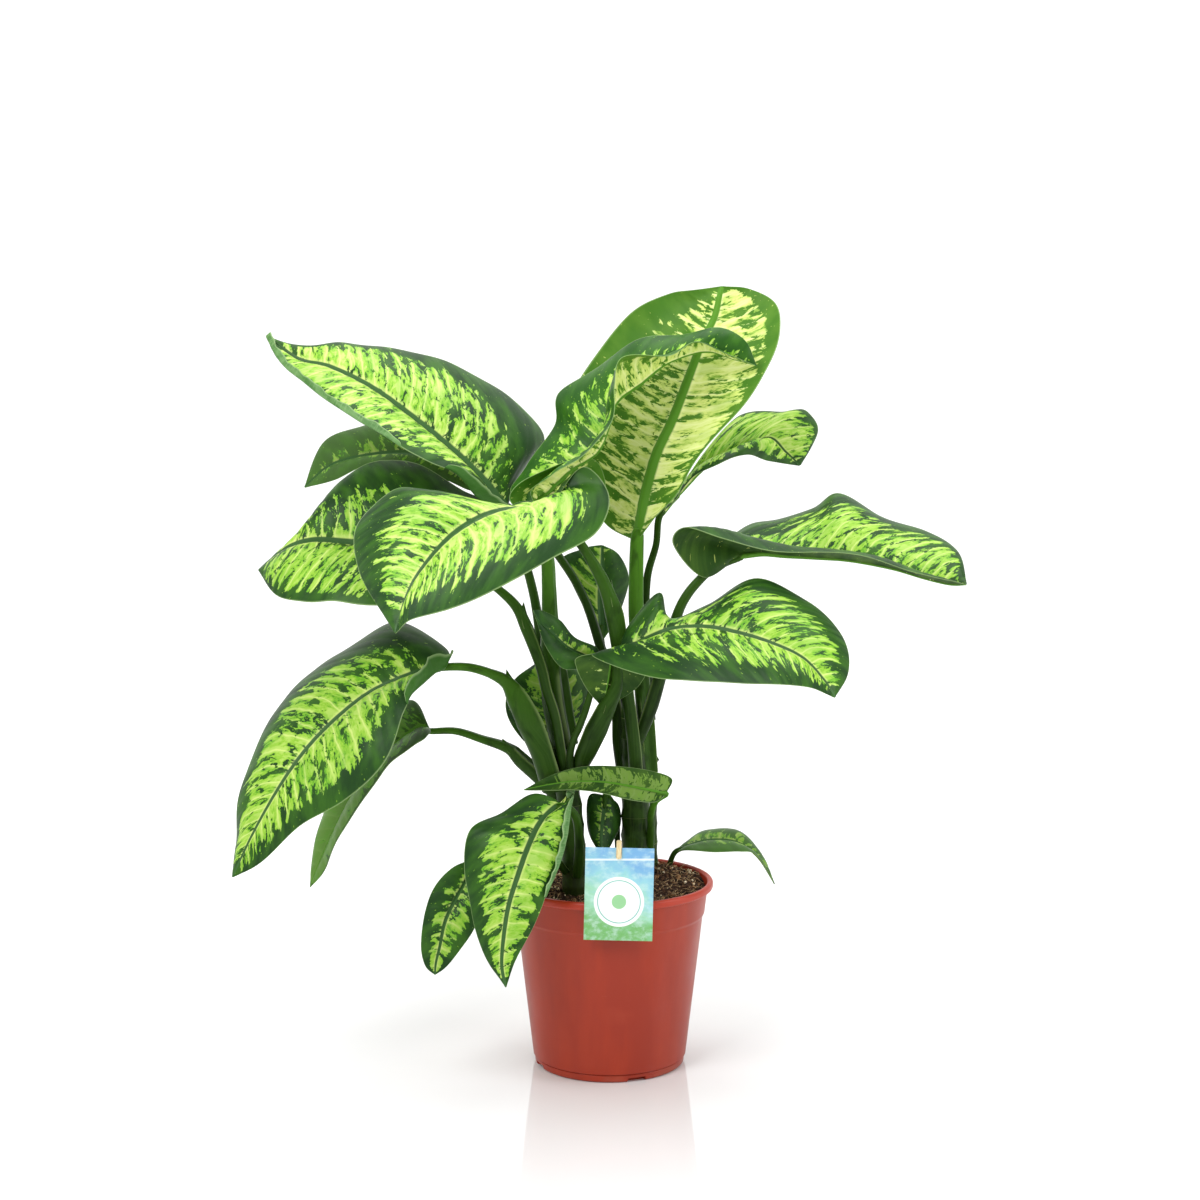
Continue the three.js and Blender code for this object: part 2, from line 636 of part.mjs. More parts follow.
// The soil fills the pot, with a lumpy heaped top and plain holes where stems and stake stand in it
function soilBody(standing) {
  const inner = (height) => wallRadius(height) - POT_WALL - 2 * GAP;
  const edge = POT_RIM_RADIUS - 7.6 - 2 * GAP;
  const rings = [0.9, 0.74, 0.56, 0.38, 0.2, 0].map((share) => [edge * share, SOIL_TOP]);
  const floor = FOOT_HOLLOW + 2.5;
  const geometry = turned([
    [0, floor], [POT_FOOT_RADIUS - 7, floor], [inner(FLOOR_CORNER + 2), FLOOR_CORNER + 2],
    [inner(WALL_TOP - 1), WALL_TOP - 1], [edge, SOIL_TOP - 1], ...rings,
  ]);
  const place = geometry.attributes.position;
  for (let i = 0; i < place.count; i += 1) {
    if (place.getZ(i) > WALL_TOP) {
      const lump = place.getZ(i) < SOIL_TOP ? 0 : soilLump(place.getX(i), place.getY(i));
      place.setZ(i, place.getZ(i) + lump + soilHeap(place.getX(i), place.getY(i)));
    }
  }
  let body = solid(springOval(geometry));
  standing.forEach((each) => {
    body = body.subtract(each);
  });
  return largest(body);
}

function soilLump(x, y) {
  return (SOIL_LUMP * (Math.sin(x * 0.19 + y * 0.07) + Math.cos(y * 0.16 - x * 0.05))) / 2;
}

// The soil is heaped up behind the right cane
function soilHeap(x, y) {
  const away = HEAP_PLACE.distanceTo(new THREE.Vector2(x, y));
  return HEAP_HEIGHT * Math.exp(-((away / HEAP_SPREAD) ** 2) / 2);
}

function paint(colour, roughness = 0.55) {
  return new THREE.MeshStandardMaterial({ color: colour, roughness, metalness: 0 });
}

function named(name, geometry, material) {
  const mesh = new THREE.Mesh(geometry, material);
  mesh.name = name;
  return mesh;
}

// The hang tag: a card whose top edge is clipped, by a small slotted wooden peg, to a thin stake behind it
function tagGroup() {
  const group = new THREE.Group();
  group.position.copy(TAG_PLACE);
  group.rotation.set(-TAG_LEAN, TAG_SKEW, 0);
  const card = new THREE.BoxGeometry(TAG_WIDTH, TAG_THICKNESS, TAG_HEIGHT);
  group.add(named('tag_card', card, paint(CARD_BLUE, 0.5)));
  group.add(named('tag_peg', pegGeometry(), paint(PALE_WOOD, 0.7)));
  return group;
}

// The peg's side view, extruded across: two jaws round a slot that is open below
function pegGeometry() {
  const [front, back] = [-TAG_THICKNESS / 2 - GAP, PEG_SLOT_BACK];
  const top = TAG_HEIGHT / 2 + PEG_ABOVE_CARD;
  const foot = top - PEG_LENGTH;
  const slot = TAG_HEIGHT / 2 + 1;
  const side = new THREE.Shape([
    [front, foot], [front - 0.9, foot], [front - PEG_JAW, foot + 6], [front - PEG_JAW, top - 3],
    [front - PEG_JAW / 2, top], [back + PEG_JAW / 2, top], [back + PEG_JAW, top - 3],
    [back + PEG_JAW, foot + 6], [back + 0.9, foot], [back, foot], [back, slot], [front, slot],
  ].map(([y, z]) => new THREE.Vector2(y, z)));
  const geometry = new THREE.ExtrudeGeometry(side, { depth: PEG_WIDTH, bevelEnabled: false });
  geometry.translate(0, 0, -PEG_WIDTH / 2);
  geometry.rotateX(Math.PI / 2);
  geometry.rotateZ(Math.PI / 2);
  geometry.translate(PEG_ACROSS, 0, 0);
  return geometry;
}

function stakeGeometry(grow = 0) {
  const centres = [0, 0.5, 1].map((share) => STAKE_FOOT.clone().lerp(STAKE_TOP, share));
  return tube(centres, centres.map(() => STAKE_RADIUS), 6, 2, grow);
}

function build() {
  const plant = new THREE.Group();
  const canes = Object.entries(CANES);
  const cleared = canes.map(([, points]) => solid(stemGeometry(points, CANE_SIDES, CANE_STEPS, GAP)));
  const shoot = solid(stemGeometry(LEAVES.leaf_soil_right.petiole, STALK_SIDES, STALK_STEPS, 1.5 * GAP));
  const soil = soilBody([...cleared, shoot, solid(stakeGeometry(GAP))]);
  plant.add(named('pot', geometryFrom(potBody()), paint(TERRACOTTA, 0.4)));
  plant.add(named('soil', geometryFrom(soil), paint(PEAT, 0.95)));
  canes.forEach(([name, points]) => {
    plant.add(named(name, stemGeometry(points, CANE_SIDES, CANE_STEPS), paint(CANE_GREEN)));
  });
  Object.entries(LEAVES).forEach(([name, leaf]) => {
    plant.add(named(name, geometryFrom(leafBody(leaf, cleared)), paint(LEAF_GREEN)));
  });
  plant.add(named('tag_stake', stakeGeometry(), paint(PALE_WOOD, 0.7)));
  plant.add(tagGroup());
  return plant;
}

export default build();
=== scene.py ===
"""Potted dieffenbachia: the finish of the leaves, canes, soil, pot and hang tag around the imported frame."""
import math
from contextlib import contextmanager

import bmesh
import bpy
import numpy as np
from bpy.props import FloatProperty, FloatVectorProperty, IntProperty, PointerProperty
from mathutils import Matrix, Vector


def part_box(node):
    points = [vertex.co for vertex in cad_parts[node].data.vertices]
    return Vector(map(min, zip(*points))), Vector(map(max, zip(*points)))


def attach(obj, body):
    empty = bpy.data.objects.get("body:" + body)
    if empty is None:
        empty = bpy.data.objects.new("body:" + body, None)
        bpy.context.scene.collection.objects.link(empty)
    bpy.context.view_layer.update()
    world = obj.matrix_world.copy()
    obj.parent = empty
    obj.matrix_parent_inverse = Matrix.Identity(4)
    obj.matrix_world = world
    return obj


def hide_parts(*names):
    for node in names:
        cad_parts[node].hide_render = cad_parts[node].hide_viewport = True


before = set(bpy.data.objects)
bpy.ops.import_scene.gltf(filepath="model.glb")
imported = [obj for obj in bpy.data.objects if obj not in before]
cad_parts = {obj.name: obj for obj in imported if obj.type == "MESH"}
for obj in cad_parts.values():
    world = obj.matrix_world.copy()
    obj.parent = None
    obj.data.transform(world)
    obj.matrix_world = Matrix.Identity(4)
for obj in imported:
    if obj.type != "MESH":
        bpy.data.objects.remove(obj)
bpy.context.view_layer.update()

bl_info = {
    "name": "Potted Dieffenbachia",
    "version": (1, 0, 0),
    "blender": (4, 5, 0),
    "location": "View3D > Sidebar > Dieffenbachia",
    "description": "Dresses a dieffenbachia in a nursery pot, with leaves, canes, soil, hang tag and stage",
    "category": "Add Mesh",
}

MM = 0.001

# The eye that the leaf points are seen from, in metres, and its sight lines in pixels of a square picture
EYE = np.array([-10.0, -2541.0, 850.0]) * MM
EYE_TILT = math.radians(8.1)
EYE_FOCAL = 2500.0
EYE_MIDDLE = 600.0
SENSOR = 36.0

# The pot, turned about Z, in metres, with its sharp edges in degrees
POT_HEIGHT = 195 * MM
POT_RIM = 105 * MM
POT_FOOT = 78 * MM
POT_WALL = 1.8 * MM
POT_OVAL = 0.03
PAD_RADIUS = 34 * MM
FOOT_HOLLOW = 3 * MM
FLOOR_CORNER = 12 * MM
WALL_FOOT = 9.5 * MM
WALL_TOP = 158 * MM
LIP_HEIGHT = 9 * MM
NOTCH_COUNT = 4
NOTCH_SIZE = (14 * MM, 20 * MM, 6.5 * MM)
NOTCH_TURN = math.radians(21)
NOTCH_BELOW = 2 * MM
NOTCH_ROUND = 1.6 * MM
CORNER_ROUND = 0.9 * MM
POT_SHARP = 38

# The soil in it, in metres
SOIL_TOP = 184 * MM
SOIL_FOOT = 5.6 * MM
SOIL_BENDS = (14 * MM, 157 * MM)
SOIL_EDGE = POT_RIM - 8.3 * MM
SOIL_GAP = 2.5 * MM
SOIL_DIP = 1.5 * MM
SOIL_WAVE = 1.3 * MM
HEAP_HEIGHT = 12 * MM
HEAP_SPREAD = 36 * MM
HEAP_PLACE = (56 * MM, 26 * MM)

# Blades: the height of their arch over a half's width, how far the side veins slant and bend back over their
# length, and how far under the blade the stalk runs, as a share of the way to the first row
BLADE_ARCH = 0.12
VEIN_SLANT = 0.2
VEIN_BEND = 0.36
STALK_UNDER = 0.9

# Blades, also as shares: the power that crowds the columns by the rib, how much thinner the rib is at the
# tip, the most of a half that it fills, a furrow's width between two veins, how far the furrows fade by the
# margin and the ripples by the ends, and how far the border reaches in at the base and the tip
COLUMN_CROWD = 1.35
RIB_TAPER = 0.65
RIB_MOST = 0.3
FURROW_WIDE = 0.17
FURROW_FADE = 0.15
RIPPLE_FADE = 0.12
BORDER_ENDS = (0.06, 0.07)

# Blades, in metres
BLADE_THICK = 1.0 * MM
FOLD_THICK = 0.8 * MM
RIB_DEPTH = 3.2 * MM
RIB_HALF = 4.2 * MM
RIB_GROOVE = 0.8 * MM
RIB_LEAST = 0.4 * MM
FURROW_START = 6 * MM
RELIEF_FULL = 50 * MM
WIDE_HALF = 45 * MM
RIPPLE_LONG = 93 * MM
RIPPLE_SHORT = 41 * MM

# Folded margins: the share of a leaf in which one rises, its curl's radius over its width and the least in
# metres, how far round it curls, and its free edge's waves as a share of its width and a length in metres
FOLD_RISE = 0.1
FOLD_CURL = 0.16
FOLD_LEAST = 0.2 * MM
FOLD_TURN = math.pi * 0.86
FOLD_WAVES = ((0.13, 0.0045), (0.1, 0.0021))

# Stalks, over their radius: the channel's width and depth, how much deeper it is in the sheath, where the
# lips beside it lie, how wide they are and how far they stand out, how wide the sheath's pale wings are, and
# the width over the depth
CHANNEL_WIDE = 0.1
CHANNEL_DEEP = 0.16
SHEATH_DEEPER = 0.2
LIP_PLACE = 0.75
LIP_WIDE = 0.22
LIP_OUT = 0.2
WING_WIDE = 0.16
STALK_OVAL = 1.03

# Free tips of sheaths: their length and how far it starts below, and their lean, over their size; their width
# over the stalk's radius, and their thickness in metres
TIP_LONG = 1.7
TIP_BELOW = 1.1
TIP_LEAN = 0.36
TIP_WIDE = 1.12
TIP_THICK = 0.9 * MM

# Canes: how far one cane's rings are shifted from the next one's in spacings, how wide they are in half
# spacings, how far rings, waists and lobes change the radius, and the whole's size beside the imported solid
RING_SHIFT = 0.37
RING_WIDE = 0.12
RING_SWELL = 0.035
CANE_WAIST = 0.03
CANE_LOBES = 0.02
CANE_WITHIN = 0.985

# The stage, in metres
FLOOR_REACH = 6.0
FLOOR_BACK = 3.0
FLOOR_BEND = 1.5
BACKDROP_TOP = 5.0
CAMERA_REACH = 50
PLANT_MIDDLE = (0, 0, 0.45)

# The light from all round, and the sharp edges of card, peg and stake in degrees
WORLD_LIGHT = 0.72
TAG_SHARP = 35

# What sets one leaf's or cane's pattern apart from the next one's
LEAF_STEP = 3.7
CANE_STEP = 5.3

# Canes from root to top and leaves from base to tip: (across, down, depth) as seen from the eye, in pixels
# and millimetres, and a radius in millimetres where a fourth value stands. A row is left edge, rib, right
# edge.
CANES = {
    "cane_left": [
        (576, 935, -20, 13), (575, 890, -20, 13), (573, 845, -17, 13), (569, 800, -14, 13),
        (563, 760, -12, 12), (556, 722, -10, 10), (552, 700, -8, 7),
    ],
    "cane_right": [
        (640, 935, 6, 16), (638, 890, 6, 16), (637, 845, 6, 16), (636, 800, 6, 15),
        (634, 765, 5, 13), (630, 725, 4, 9), (628, 700, 3, 6),
    ],
    "cane_right_back": [
        (649, 930, 62, 10), (649, 885, 58, 10), (648, 840, 52, 10), (647, 785, 42, 10.5),
        (646, 745, 36, 9), (645, 715, 30, 7),
    ],
}
LEAVES = {
    "leaf_upper_left": {
        "base": (506, 509, 5),
        "rows": [
            [(484, 503, -18), (497, 499, 6), (519, 478, 65)],
            [(455, 474, -33), (478, 477, 10), (543, 438, 105)],
            [(424, 459, -40), (450, 450, 18), (508, 395, 118)],
            [(385, 437, -34), (414, 420, 30), (450, 364, 116)],
            [(345, 412, -14), (372, 389, 43), (392, 348, 110)],
            [(306, 384, 20), (330, 368, 58), (344, 343, 98)],
            [(281, 363, 52), (298, 360, 71), (303, 346, 84)],
        ],
        "tip": (266, 336, 80),
        "stalk": [
            (563, 780, -5, 6.5), (554, 720, 11, 6), (545, 670, 15, 6), (535, 600, 16, 5),
            (520, 545, 12, 4.5), (506, 509, 5, 4),
        ],
    },
    "leaf_upper_left_behind": {
        "base": (482, 492, 60),
        "rows": [
            [(468, 490, 58), (470, 482, 64), (478, 470, 84)],
            [(440, 478, 76), (445, 465, 84), (450, 440, 122)],
            [(405, 472, 96), (410, 453, 106), (415, 420, 146)],
            [(365, 466, 108), (365, 456, 126), (372, 423, 162)],
            [(335, 480, 126), (330, 466, 142), (325, 441, 160)],
        ],
        "tip": (304, 488, 150),
        "stalk": [
            (624, 772, 10, 8), (620, 742, 14, 8), (617, 702, 20, 7), (601, 648, 30, 5.4),
            (585, 600, 38, 4.8), (563, 562, 46, 4.5), (528, 520, 56, 4), (482, 492, 60, 3.5),
        ],
    },
    "leaf_mid_left": {
        "base": (470, 570, -20),
        "rows": [
            [(455, 590, -50), (455, 562, -18), (497, 512, 30)],
            [(420, 604, -70), (425, 554, -12), (462, 490, 55)],
            [(372, 606, -80), (385, 548, -5), (415, 464, 65)],
            [(335, 601, -75), (345, 543, 0), (375, 461, 60)],
            [(305, 602, -60), (312, 541, 5), (340, 482, 45)],
            [(276, 595, -35), (285, 549, 8), (300, 535, 30)],
        ],
        "tip": (258, 570, 10),
        "stalk": [
            (564, 770, -22, 5.5), (561, 748, -34, 5.5), (555, 715, -39, 6), (547, 690, -40, 6),
            (541, 665, -39, 6.2), (527, 628, -37, 7), (516, 606, -35, 5.5), (497, 588, -30, 4.5),
            (470, 570, -20, 4),
        ],
    },
    "leaf_front_left": {
        "base": (551, 507, -45),
        "rows": [
            [(583, 467, -30), (543, 507, -50), (525, 502, -40)],
            [(609, 495, -48), (525, 508, -56), (500, 510, -45)],
            [(597, 532, -84), (505, 510, -66), (470, 503, -48)],
            [(550, 560, -126), (480, 518, -84), (430, 491, -48)],
            [(499, 588, -170), (452, 536, -108), (392, 491, -56)],
            [(450, 609, -206), (428, 562, -140), (357, 525, -84)],
            [(412, 620, -222), (410, 590, -178), (360, 572, -134)],
        ],
        "tip": (395, 634, -228),
        "stalk": [
            (636, 790, -5, 7), (634, 750, -20, 6.5), (628, 700, -29, 6), (620, 652, -38, 8),
            (614, 615, -44, 9), (605, 586, -48, 7), (590, 558, -49, 5.4), (570, 529, -48, 4.4),
            (551, 507, -45, 4),
        ],
    },
    "leaf_folded_top": {
        "base": (536, 507, -10),
        "rows": [
            [(511, 492, 12), (548, 492, -4), (532, 490, -28)],
            [(526, 465, 28), (570, 470, 2), (553, 473, -36)],
            [(555, 425, 48), (597, 452, 6), (583, 456, -40)],
            [(560, 392, 62), (608, 428, 10), (611, 424, -40)],
            [(599, 366, 66), (617, 402, 14), (614, 385, -40)],
            [(635, 341, 62), (641, 384, 20), (622, 358, -35)],
            [(680, 335, 54), (668, 363, 26), (668, 356, -15)],
            [(720, 327, 44), (705, 352, 30), (697, 341, 8)],
            [(744, 340, 38), (735, 360, 32), (728, 355, 24)],
        ],
        "tip": (757, 366, 36),
        "stalk": [
            (565, 747, -12, 12.5), (561, 728, -12, 14), (556, 700, -12, 14.5), (552, 655, -13, 12),
            (550, 615, -14, 8.5), (549, 585, -14, 7.5), (547, 555, -14, 7), (536, 507, -10, 5),
        ],
    },
    "leaf_top": {
        "base": (637, 542, 30),
        "rows": [
            [(652, 522, 15), (640, 525, 32), (603, 521, 60)],
            [(678, 490, 10), (645, 495, 36), (586, 470, 80)],
            [(700, 455, 15), (656, 455, 42), (575, 430, 95)],
            [(733, 418, 25), (672, 420, 50), (572, 395, 105)],
            [(762, 377, 40), (688, 378, 60), (598, 352, 112)],
            [(780, 335, 60), (702, 342, 72), (632, 312, 115)],
            [(776, 304, 85), (714, 318, 85), (668, 294, 112)],
            [(750, 289, 102), (719, 298, 96), (695, 290, 105)],
        ],
        "tip": (722, 286, 104),
        "stalk": [
            (648, 772, 15, 9), (645, 720, 18, 8.5), (639, 650, 24, 8), (636, 610, 28, 7.8),
            (637, 542, 30, 7),
        ],
    },
    "leaf_right_curled": {
        "base": (660, 515, 70),
        "rows": [
            [(700, 470, 112), (680, 492, 86), (676, 500, 64)],
            [(735, 417, 152), (712, 462, 108), (690, 479, 74)],
            [(784, 412, 184), (745, 447, 130), (715, 466, 90)],
            [(808, 412, 190), (769, 438, 146), (745, 455, 106)],
            [(818, 432, 184), (785, 452, 156), (768, 461, 134)],
        ],
        "tip": (800, 466, 160),
        "stalk": [
            (650, 720, 35, 6), (645, 640, 45, 5), (647, 580, 55, 4), (656, 545, 63, 3.5),
            (660, 515, 70, 3.5),
        ],
    },
    "leaf_right_upper": {
        "base": (738, 558, 0),
        "rows": [
            [(728, 545, 30), (743, 556, 0), (703, 577, -15)],
            [(735, 533, 50), (750, 555, 0), (673, 545, -28)],
            [(752, 525, 64), (765, 554, 0), (684, 529, -38)],
            [(778, 519, 72), (785, 556, -2), (722, 538, -45)],
            [(812, 508, 72), (815, 558, -8), (768, 550, -54)],
            [(838, 493, 68), (850, 561, -18), (820, 552, -62)],
            [(880, 517, 54), (892, 569, -32), (868, 558, -70)],
            [(925, 531, 26), (925, 579, -46), (912, 572, -74)],
            [(958, 550, -14), (950, 585, -60), (943, 578, -76)],
        ],
        "tip": (967, 585, -70),
        "stalk": [
            (637, 742, 2, 6.5), (651, 705, -4, 8), (664, 660, -8, 7.2), (680, 607, -6, 5.5),
            (701, 578, -4, 5), (720, 565, -2, 4.5), (738, 558, 0, 4),
        ],
    },
    "leaf_right_front": {
        "base": (618, 658, -58),
        "rows": [
            [(628, 628, -44), (634, 647, -62), (592, 656, -66)],
            [(659, 593, -32), (655, 636, -65), (622, 669, -90)],
            [(672, 619, -34), (677, 628, -71), (657, 678, -116)],
            [(708, 605, -34), (705, 627, -81), (690, 681, -135)],
            [(757, 579, -42), (737, 633, -96), (727, 683, -149)],
            [(807, 600, -62), (770, 643, -114), (765, 684, -160)],
            [(841, 634, -94), (802, 658, -134), (798, 686, -166)],
            [(848, 672, -136), (824, 681, -154), (819, 691, -168)],
        ],
        "tip": (835, 698, -172),
        "stalk": [
            (578, 771, -20, 7.5), (587, 752, -37, 9.5), (597, 730, -46, 10.5), (608, 706, -54, 8.5),
            (617, 684, -57, 6), (618, 658, -58, 4.5),
        ],
    },
    "leaf_centre_small": {
        "base": (598, 664, -42),
        "rows": [
            [(582, 668, -58), (585, 656, -46), (597, 648, -40)],
            [(562, 668, -66), (567, 647, -54), (575, 637, -46)],
            [(545, 645, -72), (552, 633, -62), (560, 620, -54)],
            [(537, 622, -70), (540, 622, -68), (543, 611, -66)],
        ],
        "tip": (533, 610, -72),
        "stalk": [
            (570, 795, -26, 3.5), (570, 768, -33, 3.5), (572, 745, -42, 3.5), (584, 715, -50, 3.5),
            (592, 688, -50, 3.3), (598, 664, -42, 3),
        ],
    },
    "leaf_low_left": {
        "base": (444, 667, -40),
        "rows": [
            [(434, 675, -62), (433, 669, -44), (446, 650, -14)],
            [(412, 694, -94), (408, 676, -50), (395, 622, 32)],
            [(404, 712, -110), (370, 693, -58), (337, 655, 35)],
            [(385, 762, -125), (335, 720, -70), (300, 683, 20)],
            [(345, 800, -125), (306, 750, -82), (270, 718, -10)],
            [(300, 826, -120), (281, 785, -95), (242, 788, -60)],
            [(262, 862, -115), (255, 830, -108), (235, 845, -90)],
        ],
        "tip": (232, 878, -118),
        "stalk": [
            (553, 788, -24, 12), (542, 752, -34, 12), (530, 722, -42, 14), (518, 698, -42, 12),
            (507, 682, -41, 7.5), (490, 673, -40, 5.2), (468, 667, -40, 4.6), (444, 667, -40, 4.2),
        ],
    },
    "leaf_low_left_behind": {
        "base": (431, 731, 30),
        "rows": [
            [(428, 735, 4), (420, 728, 36), (412, 700, 62)],
            [(413, 746, -6), (400, 742, 44), (380, 715, 84)],
            [(391, 764, 0), (378, 765, 54), (350, 745, 98)],
            [(367, 794, 16), (355, 793, 66), (330, 785, 102)],
            [(341, 834, 44), (336, 828, 76), (322, 818, 98)],
            [(325, 870, 70), (320, 862, 82), (312, 860, 92)],
        ],
        "tip": (310, 888, 86),
        "stalk": [
            (562, 802, -3, 8), (548, 785, 3, 8), (522, 761, 10, 8), (508, 748, 14, 6),
            (482, 739, 20, 4.5), (456, 731, 26, 4), (431, 731, 30, 3.5),
        ],
    },
    "leaf_pot_front": {
        "base": (565, 806, -75),
        "rows": [
            [(574, 788, -60), (556, 808, -82), (533, 793, -70)],
            [(569, 812, -85), (540, 824, -95), (500, 815, -85)],
            [(565, 840, -105), (528, 848, -110), (470, 830, -102)],
            [(557, 868, -118), (518, 876, -124), (464, 870, -114)],
            [(546, 895, -130), (509, 905, -136), (471, 908, -126)],
            [(533, 927, -142), (504, 935, -147), (480, 943, -139)],
            [(517, 957, -154), (502, 965, -157), (492, 968, -153)],
        ],
        "tip": (506, 988, -166),
        "stalk": [(577, 876, -32, 5), (579, 845, -46, 4.6), (576, 818, -62, 4.2), (565, 806, -75, 4)],
    },
    "leaf_pot_left": {
        "base": (475, 858, -70),
        "rows": [
            [(480, 878, -75), (465, 882, -76), (452, 868, -78)],
            [(483, 905, -85), (455, 900, -82), (434, 888, -82)],
            [(474, 930, -92), (445, 922, -90), (424, 915, -88)],
            [(460, 950, -98), (440, 946, -96), (421, 945, -94)],
            [(447, 966, -102), (436, 963, -101), (425, 965, -100)],
        ],
        "tip": (435, 975, -104),
        "stalk": [(566, 872, -30, 4), (545, 848, -45, 3.5), (510, 842, -60, 3), (475, 858, -70, 3)],
    },
    "leaf_crossing": {
        "base": (666, 794, -34),
        "rows": [
            [(672, 779, -30), (655, 792, -42), (656, 802, -52)],
            [(652, 771, -32), (635, 788, -50), (635, 801, -66)],
            [(615, 766, -36), (605, 783, -54), (605, 793, -72)],
            [(580, 767, -42), (575, 782, -58), (573, 790, -72)],
            [(550, 776, -48), (548, 785, -58), (548, 791, -66)],
        ],
        "tip": (523, 790, -62),
        "stalk": [
            (650, 850, 0, 4), (651, 832, -9, 3.8), (651, 814, -20, 3.5), (656, 801, -31, 3.2),
            (666, 794, -34, 3),
        ],
    },
    "leaf_hanging_small": {
        "base": (606, 795, -5),
        "rows": [
            [(618, 805, 5), (604, 808, -10), (590, 795, -5)],
            [(620, 825, 5), (602, 826, -18), (587, 815, -5)],
            [(612, 842, -5), (601, 842, -24), (590, 835, -12)],
        ],
        "tip": (603, 858, -25),
        "stalk": [(624, 880, 8, 3.5), (618, 850, 14, 3), (616, 812, 9, 3), (606, 795, -5, 3)],
    },
    "leaf_soil_right": {
        "base": (675, 852, 60),
        "rows": [
            [(684, 843, 76), (690, 845, 62), (690, 850, 46)],
            [(705, 830, 96), (713, 840, 70), (712, 852, 46)],
            [(738, 831, 102), (738, 843, 78), (740, 852, 56)],
            [(762, 855, 98), (758, 858, 80), (757, 856, 68)],
        ],
        "tip": (775, 885, 84),
        "stalk": [(658, 905, 66, 3.5), (662, 885, 66, 3.4), (668, 868, 64, 3.2), (675, 852, 60, 3)],
    },
    "leaf_centre_behind": {
        "base": (562, 756, 50),
        "rows": [
            [(532, 748, 30), (555, 745, 46), (575, 742, 64)],
            [(510, 722, 26), (549, 718, 44), (586, 715, 74)],
            [(506, 698, 28), (545, 693, 44), (588, 692, 78)],
            [(518, 675, 38), (543, 672, 48), (577, 668, 74)],
        ],
        "tip": (548, 656, 60),
        "stalk": [(572, 815, -5, 4.5), (570, 785, 24, 4), (562, 756, 50, 3)],
    },
    "leaf_middle_behind": {
        "base": (602, 642, 90),
        "rows": [
            [(588, 615, 90), (601, 622, 90), (612, 625, 95)],
            [(572, 585, 95), (600, 595, 94), (624, 603, 108)],
            [(561, 560, 100), (602, 572, 98), (629, 578, 115)],
            [(582, 549, 102), (602, 556, 104), (620, 556, 114)],
        ],
        "tip": (602, 545, 108),
        "stalk": [
            (654, 762, 42, 5), (640, 735, 62, 4), (618, 700, 80, 3.5), (606, 672, 88, 3),
            (602, 642, 90, 3),
        ],
    },
}

# Basal lobes that bend down beside a stalk, in the same form as the leaves, each with its look.
LOBES = {
    "leaf_right_front": {
        "base": (612, 650, -58),
        "rows": [
            [(579, 657, -66), (611, 660, -58), (644, 667, -48)],
            [(577, 668, -64), (609, 676, -55), (641, 683, -46)],
            [(587, 689, -60), (606, 693, -53), (626, 696, -46)],
        ],
        "tip": (603, 708, -51),
        "look": dict(cover=(0.28, 0.16), tone=0.0, left=(0.5, 0.3, 0.4), right=(0.5, 0.3, 0.4), rib=0.3),
    },
    "leaf_folded_top": {
        "base": (574, 459, 6),
        "rows": [
            [(556, 466, -10), (573, 467, 6), (594, 460, 14)],
            [(521, 483, -14), (562, 483, 4), (603, 473, 14)],
            [(509, 499, -14), (558, 501, 4), (605, 493, 14)],
            [(524, 514, -10), (559, 516, 6), (592, 510, 12)],
        ],
        "tip": (562, 524, 8),
        "look": dict(cover=(0.6, 0.5), tone=0.3, left=(0.3, 0.2, 0.3), right=(0.3, 0.2, 0.3), rib=0.5),
    },
}

